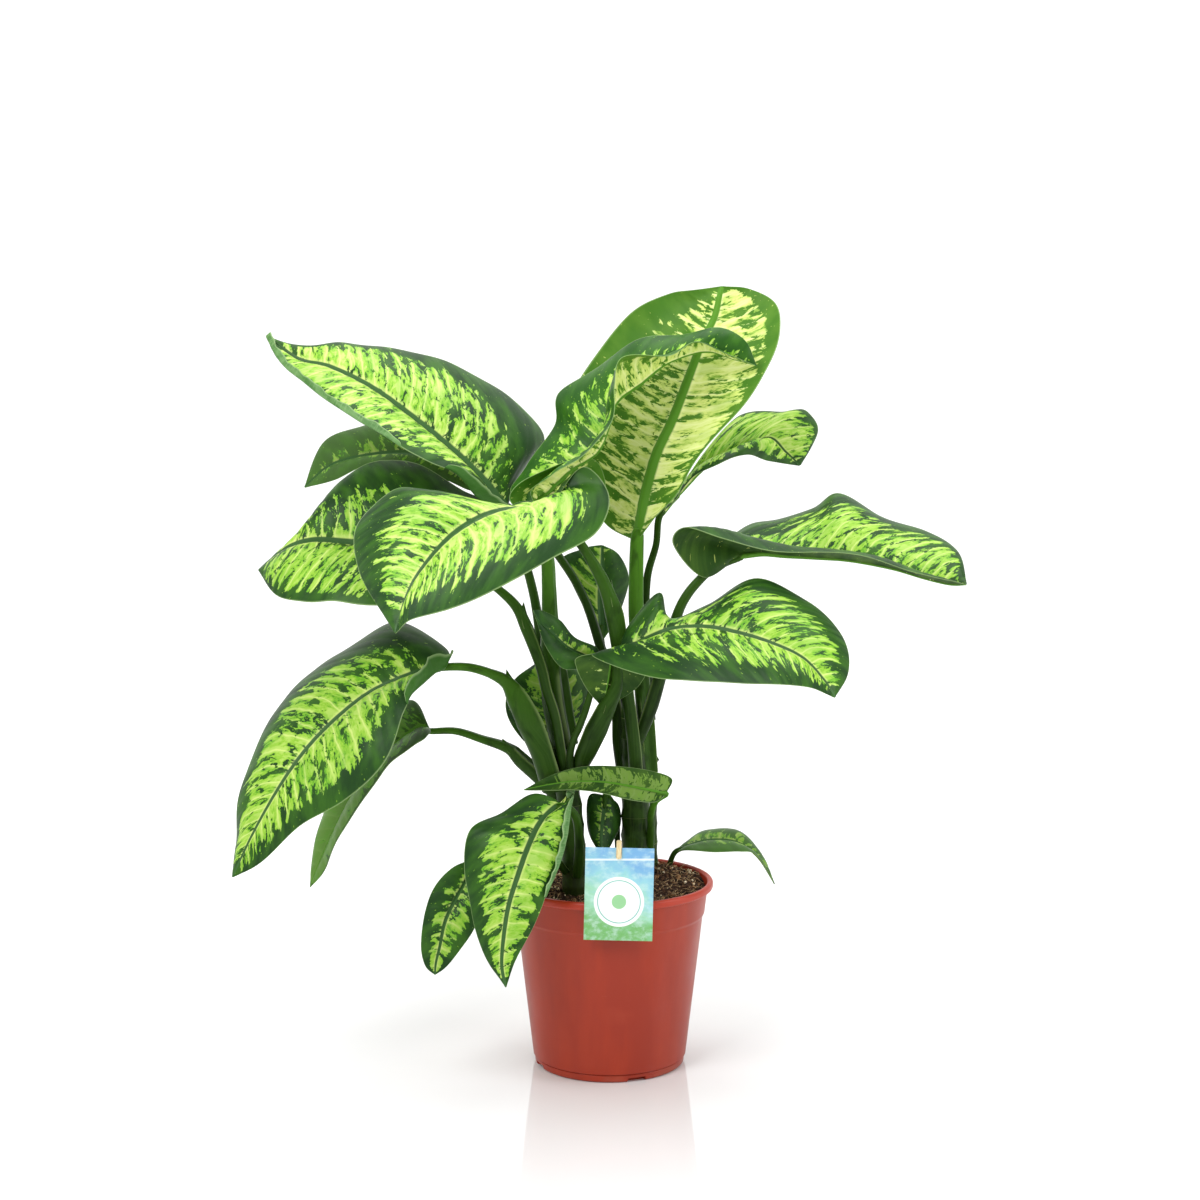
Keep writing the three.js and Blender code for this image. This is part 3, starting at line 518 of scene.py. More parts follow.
# How each leaf looks. cover is how much of the blade is bright at its base and tip, under the same for an
# underside, tone how yellow the bright is, left and right the dark border's share of each half at the base,
# middle and tip, dull how far the leaf's colours are darkened and flattened as painted shade, for a
# leaf that stands in the shade of others, fresh how young it is, green how green its bright parts are, stem
# how bright its stalk is, sheath how far up the stalk the sheath's free tip stands, with its size in mm, and
# rib its width. slant is how far the side veins lean to the tip, against the other leaves. folds turn up
# stretches of a margin: its side, where each starts and ends, its width in mm and how green it is.
LOOKS = {
    "leaf_upper_left": dict(
        cover=(0.64, 0.78), tone=0.8, left=(0.6, 0.08, 0.06), right=(0.95, 0.24, 0.11), stem=0.3,
        rib=1.8, folds=[(-1, 0.45, 1.05, 6, 0.2), (-1, -0.06, 0.3, 16, 0.9)]),
    "leaf_upper_left_behind": dict(
        cover=(0.62, 0.5), tone=0.3, left=(0.4, 0.4, 0.7), right=(0.4, 0.4, 0.7), dull=0.9, fresh=0.2,
        stem=0.2),
    "leaf_mid_left": dict(
        cover=(0.6, 0.67), tone=0.3, left=(0.32, 0.07, 0.1), right=(1.0, 0.36, 0.2), stem=0.3,
        sheath=(0.66, 14), rib=1.7),
    "leaf_front_left": dict(
        cover=(0.83, 0.8), tone=0.95, left=(0.42, 0.15, 0.34), right=(0.25, 0.27, 0.42), stem=0.35,
        sheath=(0.66, 14), rib=1.3, slant=1.5),
    "leaf_folded_top": dict(
        cover=(0.62, 0.46), under=(0.76, 0.76), tone=0.6, left=(0.2, 0.3, 0.5), right=(0.1, 0.1, 0.3),
        fresh=0.45, stem=0.75, rib=0.8, slant=0.6),
    "leaf_top": dict(
        cover=(0.62, 0.76), tone=0.9, left=(0.05, 0.06, 0.3), right=(0.05, 0.27, 0.48), fresh=0.3, stem=0.85,
        rib=1.75, slant=0.4),
    "leaf_right_curled": dict(
        cover=(0.8, 0.7), tone=0.6, left=(0.05, 0.05, 0.2), right=(0.05, 0.1, 0.3), dull=0.1),
    "leaf_right_upper": dict(
        cover=(0.57, 0.64), under=(0.58, 0.34), tone=0.4, left=(0.7, 0.18, 0.18), right=(0.9, 1.3, 1.0),
        stem=0.25, slant=2.2),
    "leaf_right_front": dict(
        cover=(0.58, 0.68), tone=0.32, left=(0.5, 0.2, 0.27), right=(0.3, 0.24, 0.29), stem=0.2,
        sheath=(0.6, 13), slant=1.8),
    "leaf_centre_small": dict(
        cover=(0.84, 0.3), tone=0.15, left=(0.9, 1.0, 1.3), right=(0.3, 0.25, 0.9), dull=0.3, stem=0.2),
    "leaf_low_left": dict(
        cover=(0.68, 0.76), tone=0.42, left=(0.3, 0.22, 0.2), right=(0.9, 0.28, 0.2), stem=0.55,
        sheath=(0.61, 15), folds=[(-1, -0.06, 0.34, 19, 0.9)]),
    "leaf_low_left_behind": dict(
        cover=(0.5, 1.2), tone=0.0, left=(0.3, 0.05, 0.05), right=(0.3, 0.05, 0.05), dull=0.8, green=1.0,
        stem=0.5, sheath=(0.46, 10)),
    "leaf_pot_front": dict(
        cover=(0.79, 0.77), tone=0.36, left=(0.3, 0.1, 0.3), right=(0.8, 0.26, 0.38), stem=0.3,
        folds=[(-1, 0.04, 0.64, 8, 0.0)]),
    "leaf_pot_left": dict(
        cover=(0.74, 0.72), tone=0.3, left=(0.5, 0.3, 0.4), right=(0.6, 0.4, 0.45), dull=0.3, stem=0.2),
    "leaf_crossing": dict(
        cover=(0.66, 0.2), tone=0.1, left=(0.05, 0.05, 0.05), right=(0.05, 0.05, 0.05), dull=1.0, green=0.8,
        stem=0.8, rib=0.5),
    "leaf_hanging_small": dict(
        cover=(0.6, 0.5), tone=0.1, left=(0.5, 0.45, 0.7), right=(0.5, 0.45, 0.7), dull=0.5, stem=0.3),
    "leaf_soil_right": dict(
        cover=(0.7, 0.6), tone=0.2, left=(0.5, 0.2, 0.4), right=(0.6, 0.4, 0.5), dull=0.9, fresh=0.5,
        stem=0.2),
    "leaf_centre_behind": dict(
        cover=(0.76, 0.74), tone=0.1, left=(0.5, 0.42, 0.4), right=(0.3, 0.12, 0.3), dull=0.35, stem=0.2),
    "leaf_middle_behind": dict(
        cover=(0.66, 0.66), tone=0.3, left=(0.4, 0.2, 0.4), right=(0.9, 0.9, 0.9), dull=0.4, stem=0.2),
}


def srgb(red, green, blue):
    """A linear colour from the 0 to 255 values of a screen colour."""
    share = [value / 255 for value in (red, green, blue)]
    return tuple(s / 12.92 if s <= 0.04045 else ((s + 0.055) / 1.055) ** 2.4 for s in share)


def colour_setting(name, about, default):
    return FloatVectorProperty(
        name=name, description=about, default=default, subtype="COLOR", size=3, min=0, max=1)


def length_setting(name, about, default, most, least=0):
    return FloatProperty(
        name=name, description=about, default=default, subtype="DISTANCE", unit="LENGTH", min=least, max=most)


class PotSettings(bpy.types.PropertyGroup):
    """Sizes and colours of the nursery pot."""

    sides: IntProperty(name="Sides", description="Faces round the pot", default=176, min=32, max=256)
    body_colour: colour_setting("Body", "Colour of the moulded plastic", srgb(164, 50, 22))
    # The lip is painted brighter than the body: a painted highlight on the rolled lip.
    lip_highlight_colour: colour_setting("Lip", "Colour of the highlit rim", srgb(174, 53, 30))
    roughness: FloatProperty(
        name="Roughness", description="Base roughness of the plastic", subtype="FACTOR", default=0.36, min=0,
        max=1)


class SoilSettings(bpy.types.PropertyGroup):
    """The potting soil and what lies loose on it."""

    soil_colour: colour_setting("Peat", "Colour of the moist peat", srgb(58, 38, 27))
    lump: length_setting("Lumps", "Height of the lumps in the surface", 4.5 * MM, 0.02)
    fibre_density: FloatProperty(
        name="Fibre density", description="Fibres to a square metre of soil", default=19000, min=0, max=90000)
    crumb_density: FloatProperty(
        name="Crumb density", description="Peat crumbs to a square metre of soil", default=30000, min=0,
        max=120000)
    grit_density: FloatProperty(
        name="Grit density", description="White grains to a square metre of soil", default=2600, min=0,
        max=20000)
    seed: IntProperty(name="Seed", description="Seed of the scatter", default=7, min=0)


class LeafSettings(bpy.types.PropertyGroup):
    """Sizes and colours shared by all leaves."""

    vein_spacing: length_setting("Vein spacing", "From one side vein to the next", 15 * MM, 0.05, 0.002)
    vein_depth: length_setting("Vein relief", "Depth of the side veins' furrows", 0.5 * MM, 0.003)
    ripple: length_setting("Edge ripple", "Height of the waves along the margins", 1.0 * MM, 0.01)
    dark_colour: colour_setting("Dark green", "Border and blotches of the upper side", srgb(30, 62, 24))
    middle_colour: colour_setting("Middle green", "Fringe of the blotches", srgb(94, 158, 38))
    bright_colour: colour_setting("Bright green", "Bright middle of the blade", srgb(142, 188, 58))
    pale_colour: colour_setting("Pale vein", "Streaks along the side veins", srgb(214, 226, 138))


class CaneSettings(bpy.types.PropertyGroup):
    """The canes and leaf stalks."""

    ring_spacing: length_setting("Ring spacing", "From one leaf scar to the next", 21 * MM, 0.1, 0.005)
    cane_colour: colour_setting("Cane", "Colour of the canes", srgb(30, 50, 15))
    stalk_colour: colour_setting("Stalk", "Colour of the leaf stalks", srgb(22, 40, 9))


class TagSettings(bpy.types.PropertyGroup):
    """The hang tag, its peg and its stake."""

    bevel: length_setting("Bevel", "Softened edges of the card", 0.2 * MM, 0.002)


class StageSettings(bpy.types.PropertyGroup):
    """Floor, lights and camera."""

    floor_colour: colour_setting("Floor", "Colour of the pale floor", (0.8, 0.8, 0.8))
    light_power: FloatProperty(
        name="Light", description="Strength of the soft lamps", default=1.0, min=0, max=10)


# Places as the eye sees them

def seen(point):
    """A point seen at (across, down) from the eye, at its own depth along Y, in metres."""
    across, down, depth = point[:3]
    ahead = np.array([0, math.cos(EYE_TILT), -math.sin(EYE_TILT)])
    up = np.array([0, math.sin(EYE_TILT), math.cos(EYE_TILT)])
    sight = ahead - up * (down - EYE_MIDDLE) / EYE_FOCAL
    sight[0] += (across - EYE_MIDDLE) / EYE_FOCAL
    return EYE + sight * (depth * MM - EYE[1]) / sight[1]


def through(points, knots):
    """A smooth curve through evenly numbered points, read at knots from 0 to the last point's number."""
    points = np.asarray(points, float)
    last = len(points) - 1
    start = np.clip(np.floor(knots).astype(int), 0, last - 1)
    share = (knots - start)[:, None]
    before = np.where((start > 0)[:, None], points[np.maximum(start - 1, 0)], 2 * points[0] - points[1])
    after = np.where(
        (start < last - 1)[:, None], points[np.minimum(start + 2, last)], 2 * points[-1] - points[-2])
    here, there = points[start], points[start + 1]
    linear = (there - before) * share
    square = (2 * before - 5 * here + 4 * there - after) * share ** 2
    cube = (3 * here - before - 3 * there + after) * share ** 3
    return 0.5 * (2 * here + linear + square + cube)


def traced(line, steps):
    """Centres and radii along a line of seen points that have a radius each."""
    knots = np.linspace(0, len(line) - 1, steps + 1)
    radii = np.interp(knots, np.arange(len(line)), [point[3] * MM for point in line])
    return through([seen(point) for point in line], knots), radii


def unit(vectors):
    return vectors / np.maximum(np.linalg.norm(vectors, axis=-1, keepdims=True), 1e-9)


def lengths(points):
    """Distance along a line of points, from its first one."""
    steps = np.linalg.norm(np.diff(points, axis=0), axis=1)
    return np.concatenate([[0], np.cumsum(steps)])


def turns(sides):
    """Even steps round a ring, as angles."""
    return np.arange(sides) / sides * 2 * math.pi


# Meshes

class Sheets:
    """Collects vertices, faces, finishes and values for one piece."""

    def __init__(self):
        self.points = []
        self.faces = []
        self.finishes = []
        self.values = {}
        self.count = 0

    def add(self, points, faces, finish, **values):
        """Adds a part: points (n, 3), faces by its own numbers, and one value of each kind to a point."""
        self.points.append(points)
        self.faces += [[corner + self.count for corner in face] for face in faces]
        self.finishes += [finish] * len(faces) if isinstance(finish, int) else list(finish)
        for name, value in values.items():
            whole = np.broadcast_to(value, (len(points),) + np.shape(value)[1:])
            self.values.setdefault(name, []).append(whole)
        self.count += len(points)

    def add_rings(self, rings, first, last, finish=0, **values):
        """Adds a closed tube of rings (rows, sides, 3) with a middle point at each end."""
        rows, sides = rings.shape[:2]
        points = np.concatenate([rings.reshape(-1, 3), [first, last]])
        self.add(points, ring_faces(rows, sides), finish, **values)

    def piece(self, name, finishes, sharp=50):
        """The finished piece, smooth apart from edges sharper than the angle, with its faces outwards."""
        mesh = bpy.data.meshes.new(name)
        mesh.from_pydata(np.concatenate(self.points).tolist(), [], self.faces)
        for finish in finishes:
            mesh.materials.append(finish)
        mesh.polygons.foreach_set("material_index", self.finishes)
        for kind, values in self.values.items():
            values = np.concatenate(values)
            form, field = ("FLOAT_VECTOR", "vector") if values.ndim > 1 else ("FLOAT", "value")
            attribute = mesh.attributes.new(kind, form, "POINT")
            attribute.data.foreach_set(field, values.astype(np.float32).ravel())
        mesh.validate()
        mesh.shade_smooth()
        mesh.set_sharp_from_angle(angle=math.radians(sharp))
        with worked(mesh) as work:
            bmesh.ops.recalc_face_normals(work, faces=work.faces)
        return placed(name, mesh)


@contextmanager
def worked(mesh):
    """The mesh as a bmesh, which is written back when the work on it is done."""
    work = bmesh.new()
    work.from_mesh(mesh)
    yield work
    work.to_mesh(mesh)
    work.free()


def placed(name, data):
    """A new object of the scene."""
    thing = bpy.data.objects.new(name, data)
    bpy.context.scene.collection.objects.link(thing)
    return thing


def ring_quads(rows, sides):
    """Quads between rings of points."""
    faces = []
    for row in range(rows - 1):
        for side in range(sides):
            a, b = row * sides + side, row * sides + (side + 1) % sides
            faces.append((a, b, b + sides, a + sides))
    return faces


def ring_faces(rows, sides):
    """Quads between rings of points, and a fan over each end whose middle point comes after the rings."""
    faces = ring_quads(rows, sides)
    first, last = rows * sides, rows * sides + 1
    for side in range(sides):
        after = (side + 1) % sides
        faces.append((first, after, side))
        faces.append((last, (rows - 1) * sides + side, (rows - 1) * sides + after))
    return faces


def dress(piece, slot, *nodes):
    """Makes a finished piece ride on the plant and stand for its nodes."""
    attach(piece, "root")
    if nodes:
        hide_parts(*nodes)


# Node trees

class Value:
    """A node's output, which can be reckoned with."""

    def __init__(self, tree, socket):
        self.tree = tree
        self.socket = socket

    def __add__(self, other):
        return self.tree.math("ADD", self, other)

    def __sub__(self, other):
        return self.tree.math("SUBTRACT", self, other)

    def __mul__(self, other):
        return self.tree.math("MULTIPLY", self, other)

    def __truediv__(self, other):
        return self.tree.math("DIVIDE", self, other)


class Tree:
    """A node tree that is written from its inputs to its end."""

    def __init__(self, tree):
        self.tree = tree

    def node(self, kind, fed=(), **settings):
        """A new node, with its settings and what is fed to its inputs, by their names or numbers."""
        node = self.tree.nodes.new(kind)
        for name, value in settings.items():
            setattr(node, name, value)
        for place, value in dict(fed).items():
            self.feed(node.inputs[place], value)
        return node

    def made(self, kind, fed=(), output=0, **settings):
        """One output of a new node."""
        return Value(self, self.node(kind, fed, **settings).outputs[output])

    def feed(self, socket, value):
        if isinstance(value, Value):
            self.tree.links.new(value.socket, socket)
        elif socket.type == "RGBA":
            socket.default_value = (*value[:3], 1)
        else:
            socket.default_value = value

    def math(self, operation, first, second=0.0):
        return self.made("ShaderNodeMath", {0: first, 1: second}, operation=operation)


class Finish(Tree):
    """A node material that is written from its colour up to its surface."""

    def __init__(self, name):
        self.material = bpy.data.materials.new(name)
        self.material.use_nodes = True
        super().__init__(self.material.node_tree)
        self.surface = self.tree.nodes["Principled BSDF"]

    def spread(self, value, low, high, to_low=0.0, to_high=1.0, smooth=True):
        """value carried from low..high to to_low..to_high, held at both ends."""
        parts = dict(enumerate((value, low, high, to_low, to_high)))
        return self.made("ShaderNodeMapRange", parts, interpolation_type="SMOOTHSTEP" if smooth else "LINEAR")

    def mix(self, share, first, second):
        return self.made("ShaderNodeMix", {0: share, 6: first, 7: second}, 2, data_type="RGBA")

    def ramp(self, value, stops):
        """A colour ramp through (place, colour) stops."""
        node = self.node("ShaderNodeValToRGB", {0: value})
        elements = node.color_ramp.elements
        while len(elements) < len(stops):
            elements.new(1.0)
        for element, (place, colour) in zip(elements, stops):
            element.position = place
            element.color = (*colour, 1)
        return Value(self, node.outputs[0])

    def read(self, name, output="Fac"):
        """A value that the piece has at each point."""
        return self.made("ShaderNodeAttribute", (), output, attribute_type="GEOMETRY", attribute_name=name)

    def place(self):
        return self.made("ShaderNodeTexCoord", (), "Object")

    def parts(self, vector):
        node = self.node("ShaderNodeSeparateXYZ", {0: vector})
        return [Value(self, output) for output in node.outputs]

    def noise(self, vector, scale, detail=3.0, roughness=0.5, distortion=0.0, shift=(0, 0, 0)):
        """Noise with one scale, or with one for each axis and a shift."""
        if isinstance(scale, tuple):
            vector = self.made("ShaderNodeMapping", {"Vector": vector, "Location": shift, "Scale": scale})
            scale = 1.0
        return self.made("ShaderNodeTexNoise", {
            "Vector": vector, "Scale": scale, "Detail": detail, "Roughness": roughness,
            "Distortion": distortion}, "Fac")

    def bump(self, height, strength, distance):
        return self.made("ShaderNodeBump", {"Strength": strength, "Distance": distance, "Height": height})

    def done(self, colour, roughness, normal=None, **fixed):
        """Feeds the surface; values in fixed are the same all over it."""
        self.feed(self.surface.inputs["Base Color"], colour)
        self.feed(self.surface.inputs["Roughness"], roughness)
        if normal:
            self.feed(self.surface.inputs["Normal"], normal)
        for name, value in fixed.items():
            self.surface.inputs[name.replace("_", " ")].default_value = value
        return self.material


# Leaf, cane and stalk finishes

def blade_finish(name, dark, middle, bright, pale, rib, roughness, across):
    """A variegated blade: a dark border and torn blotches between bright veins, longer with a low across."""
    f = Finish(name)
    vein = f.read("vein", "Vector")
    edge, rib_place = f.read("edge"), f.read("rib")
    cover, tone, fresh = f.parts(f.read("look", "Vector"))

    wander = f.noise(vein, (28, 28, 1), 2) - 0.5
    start = f.parts(vein)[0] / bpy.context.scene.dieffenbachia_leaf.vein_spacing
    away = f.math("ABSOLUTE", f.math("FRACT", start + wander) - 0.5)
    tongue = f.spread(away, 0.0, 0.5, 1.0, 0.0, smooth=False)
    line = f.spread(away, 0.012, 0.085, 1.0, 0.0)
    halo = f.spread(away, 0.02, 0.24, 1.0, 0.0)

    value = f.spread(edge, 0.55, 1.5, 0.36, 0.0) + f.spread(edge, 0.9, 3.6, 0.11, -0.05, smooth=False)
    value = value - (tongue - 0.3) * f.spread(edge, 0.8, 3.4, 0.2, 0.05) - (cover - 0.62) * 0.5
    for long, wide, shift, weight, fine, bend in (
            (150, 84, (0, 0, 0), 1.15, 3, 0.8), (400, 230, (3, 1, 5), 0.42, 3, 0.5),
            (900, 760, (1, 6, 3), 0.16, 2, 0.0), (60, 34, (3, 5, 2), 0.55, 1, 0.3)):
        value = value + (f.noise(vein, (long, wide * across, 1), fine, 0.6, bend, shift) - 0.5) * weight

    streak = f.noise(vein, (130, 30, 1), 2, shift=(7, 1, 0)) - 0.5
    depth = value * -1.0 + streak * 0.4
    warm = f.mix(0.55, bright, pale)
    light = f.mix(f.spread(depth, -0.04, 0.12), middle, bright)
    light = f.mix(f.spread(depth, 0.1, 0.3) * f.spread(tone, 0.0, 1.0, 0.25, 1.0), light, warm)
    light = f.mix(halo * f.spread(tone, 0.0, 1.0, 0.18, 0.6), light, warm)
    light = f.mix(line * f.spread(edge, 0.9, 2.6, 0.05, 0.5), light, pale)
    broad = f.noise(vein, (40, 30, 1), 1, shift=(8, 2, 6))
    light = f.mix(f.spread(broad, 0.5, 0.72) * 0.35, light, middle)

    shade = f.noise(vein, (60, 40, 1), shift=(1, 9, 4))
    deep = f.mix(f.spread(shade, 0.35, 0.7, 0.0, 0.22), dark, middle)
    deep = f.mix(fresh * 0.32, deep, f.mix(0.45, dark, middle))
    dots = f.noise(vein, (420, 330, 1), 1, shift=(6, 2, 9))
    deep = f.mix(f.spread(dots, 0.735, 0.765) * 0.7, deep, bright)
    colour = f.mix(f.spread(value, -0.03, 0.012) * 0.7, light, middle)
    colour = f.mix(f.spread(value, -0.006, 0.022), colour, deep)

    beside = f.spread(rib_place, 1.0, 2.2, 0.5, 0.0) * f.spread(value, 0.0, 0.05, 1.0, 0.0)
    colour = f.mix(beside, colour, pale)
    colour = f.mix(f.spread(rib_place, 0.8, 1.15, 1.0, 0.0), colour, rib)
    colour = f.mix(f.spread(f.read("share"), 0.982, 0.997) * 0.4, colour, srgb(176, 204, 138))

    grain = f.noise(vein, (1300, 1300, 1), 2)
    rough = f.spread(grain, 0.2, 0.8, roughness - 0.05, roughness + 0.07)
    return f.done(colour, rough, f.bump(halo * -0.4 + grain * 0.25, 0.3, 0.0005), Specular_IOR_Level=0.14)


def mixed(colour, other, share):
    """A colour between two."""
    return tuple(a + (b - a) * share for a, b in zip(colour, other))


def leaf_finishes(dull, fresh, green):
    """Upper side and underside, darkened as painted shade for a leaf in others' shade. A fresh one is young.
    """
    s = bpy.context.scene.dieffenbachia_leaf
    kinds = (("dull", dull), ("fresh", fresh), ("green", green))
    name = "".join(f" {kind} {amount:.1f}" for kind, amount in kinds if amount)

    def shaded(colour, share):
        """The colour darkened towards a shade green as painted shade, as far as the leaf is in shade."""
        return mixed(colour, srgb(54, 84, 44), share * dull)

    # Painted shade: the dark border of a leaf deep in the shade of others is greyed.
    dark = mixed(mixed(s.dark_colour, srgb(24, 78, 12), fresh), srgb(80, 108, 54), 1.2 * max(0.0, dull - 0.5))
    upper = blade_finish(
        "Leaf upper side" + name, dark, shaded(s.middle_colour, 0.35),
        shaded(mixed(s.bright_colour, srgb(104, 150, 56), green), 0.45),
        shaded(mixed(s.pale_colour, srgb(132, 172, 78), green), 0.6),
        mixed(srgb(58, 94, 48), srgb(92, 138, 52), green), 0.4, 0.85)
    under = blade_finish(
        "Leaf underside" + name, mixed(srgb(42, 74, 24), srgb(64, 116, 26), min(1.0, 3 * fresh)),
        shaded(srgb(124, 166, 60), 0.3), shaded(mixed(srgb(204, 220, 116), srgb(108, 152, 56), green), 0.4),
        shaded(mixed(srgb(232, 238, 168), srgb(140, 180, 82), green), 0.5), srgb(82, 134, 36), 0.48, 0.55)
    return upper, under


def stalk_finish():
    """A fleshy green stalk, brighter towards a young blade, with a pale line on each wing of its sheath."""
    f = Finish("Leaf stalk")
    vein = f.read("vein", "Vector")
    lines = f.noise(vein, (7, 420, 1), 2)
    cloud = f.noise(vein, (38, 90, 1))
    young = f.spread(f.read("along"), 0.2, 0.85, 0.3, 1.0) * f.parts(f.read("look", "Vector"))[2]
    base = f.mix(young, bpy.context.scene.dieffenbachia_cane.stalk_colour, srgb(86, 142, 36))
    base = f.mix(f.spread(lines, 0.42, 0.68, 0.0, 0.2), base, srgb(70, 100, 40))
    base = f.mix(f.spread(cloud, 0.48, 0.75, 0.0, 0.6), base, srgb(13, 29, 6))
    base = f.mix(f.spread(f.read("share"), 0.55, 1.0) * 0.55, base, srgb(150, 172, 108))
    rough = f.spread(cloud, 0.3, 0.7, 0.34, 0.46)
    return f.done(base, rough, f.bump(lines, 0.2, 0.0004), Specular_IOR_Level=0.09)


def fold_finish():
    """The grey-green outer side of a margin that is rolled up."""
    f = Finish("Rolled margin")
    vein = f.read("vein", "Vector")
    cloud = f.noise(vein, (90, 160, 1))
    lines = f.noise(vein, (800, 60, 1), 2)
    base = f.mix(f.spread(cloud, 0.35, 0.65), srgb(74, 118, 58), srgb(112, 152, 92))
    base = f.mix(f.spread(lines, 0.5, 0.7, 0.0, 0.4), base, srgb(146, 178, 122))
    base = f.mix(f.parts(f.read("look", "Vector"))[2], base, srgb(46, 92, 22))
    base = f.mix(f.spread(f.read("share"), 0.8, 1.0) * 0.5, base, srgb(170, 196, 140))
    rough = f.spread(cloud, 0.3, 0.7, 0.42, 0.54)
    return f.done(base, rough, f.bump(lines, 0.2, 0.0004), Specular_IOR_Level=0.2)


def cane_finish():
    """A green cane with paler scars at its rings and fine lines along it."""
    f = Finish("Cane")
    vein = f.read("vein", "Vector")
    lines = f.noise(vein, (20, 500, 1), 3, 0.6)
    cloud = f.noise(vein, (55, 70, 1), 4, 0.6, shift=(2, 2, 2))
    scar = f.spread(f.read("along"), 0.75, 0.97)
    low = f.spread(f.parts(f.place())[2], SOIL_TOP - 0.002, SOIL_TOP + 0.05, 0.75, 0.0)
    green = bpy.context.scene.dieffenbachia_cane.cane_colour
    base = f.mix(f.spread(cloud, 0.35, 0.65), green, srgb(50, 80, 22))
    base = f.mix(f.spread(lines, 0.5, 0.75, 0.0, 0.35), base, srgb(86, 114, 48))
    base = f.mix(scar * 0.75, base, srgb(138, 150, 88))
    base = f.mix(low, base, srgb(46, 54, 24))
    rough = f.spread(cloud, 0.3, 0.7, 0.36, 0.5)
    return f.done(base, rough, f.bump(lines + scar * 1.5, 0.35, 0.0005), Specular_IOR_Level=0.14)


# Leaves

class Blade:
    """A blade's middle surface on a grid of rows and columns, and what its finish reads there."""

    def __init__(self, leaf, look, steps, halves, seed):
        rows = [[leaf["base"]] * 3, *leaf["rows"], [leaf["tip"]] * 3]
        places = np.array([[seen(point) for point in row] for row in rows])
        last = len(rows) - 1
        inset = 0.03 / last
        self.along = np.linspace(inset, 1 - inset, steps + 1)
        left, rib, right = (through(places[:, k], self.along * last) for k in range(3))
        ahead = unit(np.gradient(rib, axis=0))
        rib_length = lengths(rib)
        self.total = rib_length[-1]
        columns = []
        stations = (np.arange(1, halves + 1) / halves) ** COLUMN_CROWD
        for edge, sign in ((left, -1), (right, 1)):
            reach = edge - rib
            width = np.linalg.norm(reach, axis=1, keepdims=True)
            up = unit(np.cross(reach * sign, ahead))
            for s in stations[::-1] if sign < 0 else stations:
                arch = up * width * BLADE_ARCH * 4 * s * (1 - s)
                columns.append((rib + reach * s + arch, width[:, 0] * s, sign, s))
            if sign < 0:
                columns.append((rib, np.zeros(steps + 1), 0, 0.0))
        middle, distance, side, share = zip(*columns)
        self.middle = np.stack(middle, axis=1)
        self.distance = distance = np.stack(distance, axis=1)
        self.share = share = np.array(share)
        self.widest = max(distance.max(), 1e-3)
        bend = VEIN_SLANT * distance + VEIN_BEND * distance ** 2 / self.widest
        self.start = rib_length[:, None] - look.get("slant", 1.0) * bend
        taper = 1 - RIB_TAPER * self.along
        half = RIB_HALF * look.get("rib", 1.0) * taper * min(1.0, self.widest / WIDE_HALF)
        half = np.minimum(half, RIB_MOST * distance.max(axis=1) + RIB_LEAST)
        self.near = distance / half[:, None]
        border = np.stack([border_share(look, self.along, s) for s in side], axis=1)
        ends = np.minimum(self.along / BORDER_ENDS[0], (1 - self.along) / BORDER_ENDS[1])[:, None]
        shape = self.start.shape
        self.values = {
            "vein": np.stack([self.start, distance * side, np.full(shape, seed * LEAF_STEP)], axis=-1),
            "share": np.broadcast_to(share, shape),
            "edge": np.minimum((1 - share)[None, :] / border, np.maximum(ends, 0.02) * 1.5),
            "rib": self.near,
            "along": np.broadcast_to(self.along[:, None], shape),
            "look": blade_look(look, self.along, shape),
        }

    def relief(self, settings, seed):
        """How far the surface stands out: side-vein furrows and a rippled margin, both faces alike."""
        furrow = np.exp(-(((self.start / settings.vein_spacing % 1.0) - 0.5) / FURROW_WIDE) ** 2)
        fade = np.clip(self.distance / FURROW_START, 0, 1)
        fade = fade * np.clip((1 - self.share) / FURROW_FADE, 0, 1)[None, :]
        ends = np.clip(np.minimum(self.along, 1 - self.along) / RIPPLE_FADE, 0, 1)[:, None]
        waves = np.sin(2 * math.pi * self.along * self.total / RIPPLE_SHORT + seed * 1.9)
        slow = np.sin(2 * math.pi * self.along * self.total / RIPPLE_LONG + seed * 2.7)
        outwards = np.sign(self.share - 0.001) * self.share[None, :] ** 3
        ripple = (waves * 0.5 + slow)[:, None] * outwards
        scale = min(1.0, self.widest / RELIEF_FULL)
        return (-settings.vein_depth * furrow * fade + settings.ripple * ripple * ends) * scale


def border_share(look, along, side):
    """The dark border's share of a half blade at each place along it."""
    return np.interp(along, [0, 0.45, 1], look["left"] if side < 0 else look["right"])


def blade_look(look, along, shape):
    """Cover, tone and freshness at every point of a blade."""
    values = np.empty(shape + (3,))
    values[..., 0] = np.interp(along, [0, 1], look["cover"])[:, None]
    values[..., 1] = look["tone"]
    values[..., 2] = look.get("fresh", 0.0)
    return values


def grid_normals(grid):
    """Upper-side normals of a grid of points."""
    return unit(np.cross(np.gradient(grid, axis=1), np.gradient(grid, axis=0)))


